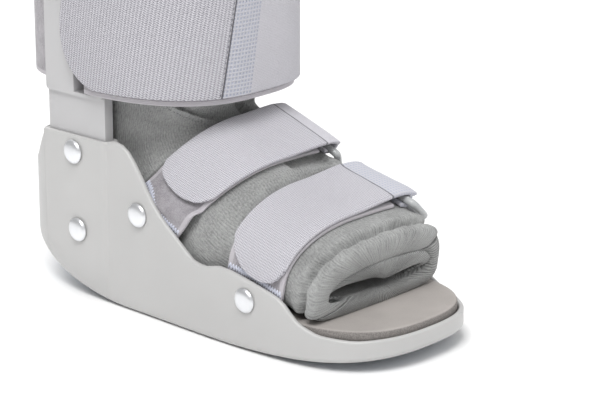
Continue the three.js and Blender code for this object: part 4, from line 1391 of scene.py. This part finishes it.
def buildCalfBase():
    # a closed loop that steps from the outside of the struts to their inside at the slots
    width = calf["height"]
    shares = strapShares(width, 20)
    low = calf["bottom"] - calf["drop"]
    loop = []
    for angle in range(-180, 180, 3):
        polar = math.radians(angle)
        cross = ease(*calf["crossing"], calfPoint(polar, 0).y)
        loop.append(calfPoint(polar, 0, mix(calf["outside"], calf["inside"], cross)))
    count = len(loop)
    lengths = lengthsAlong([*loop, loop[0]])
    places, measures = [], []
    for step in range(count + 1):
        here = loop[step % count]
        out = -leftOf(loop[(step - 1) % count], loop[(step + 1) % count])
        row, flat = [], []
        for face, across in ((halfThick, shares), (-halfThick, shares[::-1])):
            for share in across:
                spot = here + out * face * max(0.12, edgeThin(min(share, 1 - share) * width))
                row.append(Vector((*spot, low + share * width)))
                flat.append((lengths[step], share * width))
        places.append(row + [row[0]])
        measures.append(flat + [flat[0]])
    return layOut("calfStrapBase", places, measures)


finishPiece(buildCalfBase(), "strap_pile", calfPile, "calf_strap_base")
finishPiece(buildCalfTop(), "strap_webbing", calfFabric, "calf_strap")
sewCalfStrap()
print("calf straps")


# Stitches on the liner
def onHem(arc):
    station = hemLine(arc)
    return sectionAt(station).spot(arc, footPuff(station, arc) + stitch["clear"])


def besideAnkleSeam(station):
    arc = readLine(ankle["seam"], station) - ankle["stitchAside"]
    return sectionAt(station).spot(arc, bodyRelief(station, arc) + stitch["clear"])


for name, count, ends, placeAt in (("toeHemStitches", 40, (-0.082, 0.044), onHem),
                                   ("ankleStitches", 15, (6.5, 10.4), besideAnkleSeam)):
    dashed(name, count, ends, stitch["linerDash"], placeAt, stitch["linerThread"],
           "liner_fleece", greyThread)
print("liner stitches")


# Rings and the webbing that holds them, which bends between tapeLow and tapeHigh of its height
ringHang = dict(turn=15, tapeLow=0.22, tapeHigh=0.84, curve=1.8, barDepth=0.004, fatter=0.0008)


def softCopy(node, name, levels, fatter=0.0):
    # a CAD piece with its facets smoothed
    piece = copyOf(node, name)
    joined = math.radians(60)
    editAll(bpy.ops.mesh.tris_convert_to_quads, face_threshold=joined, shape_threshold=joined)
    finer = piece.modifiers.new("finer", "SUBSURF")
    finer.levels = levels
    finer.render_levels = levels
    applyModifier(piece, "finer")
    if fatter:
        editAll(bpy.ops.transform.shrink_fatten, value=fatter)
    bpy.ops.object.shade_smooth()
    return piece


def centreOf(spots):
    return sum(spots, Vector((0, 0, 0))) / len(spots)


def upperBar(ringPiece):
    # the two ends of the bar that the strap folds over
    spots = [vertex.co for vertex in ringPiece.data.vertices]
    inner = min(spot.x for spot in spots)
    bar = [spot for spot in spots if spot.x < inner + ringHang["barDepth"]]
    middle = centreOf(bar).y
    return [centreOf([spot for spot in bar if (spot.y < middle) == ahead]) for ahead in (True, False)]


def hang(piece, front, rear, weight):
    # turned down about the upper bar
    axis = (rear - front).normalized()
    centre = centreOf([vertex.co for vertex in piece.data.vertices]) - front
    angle = math.radians(ringHang["turn"])
    if (Matrix.Rotation(angle, 3, axis) @ centre).z > centre.z:
        angle = -angle
    for vertex in piece.data.vertices:
        turn = Matrix.Rotation(angle * weight(vertex.co), 3, axis)
        vertex.co = front + turn @ (vertex.co - front)


for strap in footStraps:
    name = strap["name"]
    ringPiece = softCopy(f"{name}_ring", f"{name}Ring", 3, ringHang["fatter"])
    tapePiece = softCopy(f"{name}_ring_anchor", f"{name}RingTape", 2)
    front, rear = upperBar(ringPiece)
    low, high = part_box(f"{name}_ring_anchor")
    start, end = (mix(low[2], high[2], ringHang[part]) for part in ("tapeLow", "tapeHigh"))
    hang(ringPiece, front, rear, lambda spot: 1)
    hang(tapePiece, front, rear,
         lambda spot: min(1, max(0, (spot.z - start) / (end - start))) ** ringHang["curve"])
    finishPiece(ringPiece, "ring_plastic", ringPlastic, f"{name}_ring")
    finishPiece(tapePiece, "strap_webbing", footPile, f"{name}_ring_anchor")
print("rings")


# Rivets
rivet = dict(
    radius=rivetRadius, dome=0.0027, rim=0.0009, shank=0.0022, tail=0.0036, tailThickness=0.001,
    axis=0.0001, around=48, domeSteps=12, sharpAngle=50,
)


def buildRivet(node):
    # the tail, shank and domed head turned on the CAD rivet's own axis
    t = rivet
    low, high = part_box(node)
    side = -1 if low[0] < 0 else 1
    y, z = (low[1] + high[1]) / 2, (low[2] + high[2]) / 2
    inside, top = sorted((abs(low[0]), abs(high[0])))
    face = top - t["dome"]
    tail, rim = inside + t["tailThickness"], face + t["rim"]
    profile = [(0, inside), (t["axis"], inside), (t["tail"] - 0.0004, inside), (t["tail"], inside + 0.0003),
               (t["tail"], tail - 0.0002), (t["tail"] - 0.0003, tail), (t["shank"], tail),
               (t["shank"], face), (t["radius"] - 0.0003, face), (t["radius"], face + 0.0002),
               (t["radius"], rim - 0.0003), (t["radius"] - 0.0002, rim)]
    for step in range(1, t["domeSteps"]):
        angle = math.pi / 2 * step / t["domeSteps"]
        profile.append(((t["radius"] - 0.0005) * math.cos(angle), rim + (top - rim) * math.sin(angle)))
    profile += [(t["axis"], top), (0, top)]
    turns = [2 * math.pi * step / t["around"] for step in range(t["around"] + 1)]
    places = []
    for radius, reach in profile:
        places.append([Vector((side * reach, y + radius * math.cos(turn), z + radius * math.sin(turn)))
                       for turn in turns])
    piece = layOut(node.replace("_", ""), places)
    bpy.ops.object.shade_smooth_by_angle(angle=math.radians(t["sharpAngle"]))
    return piece


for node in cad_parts:
    if node.startswith("rivet_"):
        finishPiece(buildRivet(node), "rivet_steel", rivetSteel, node)
print("rivets")
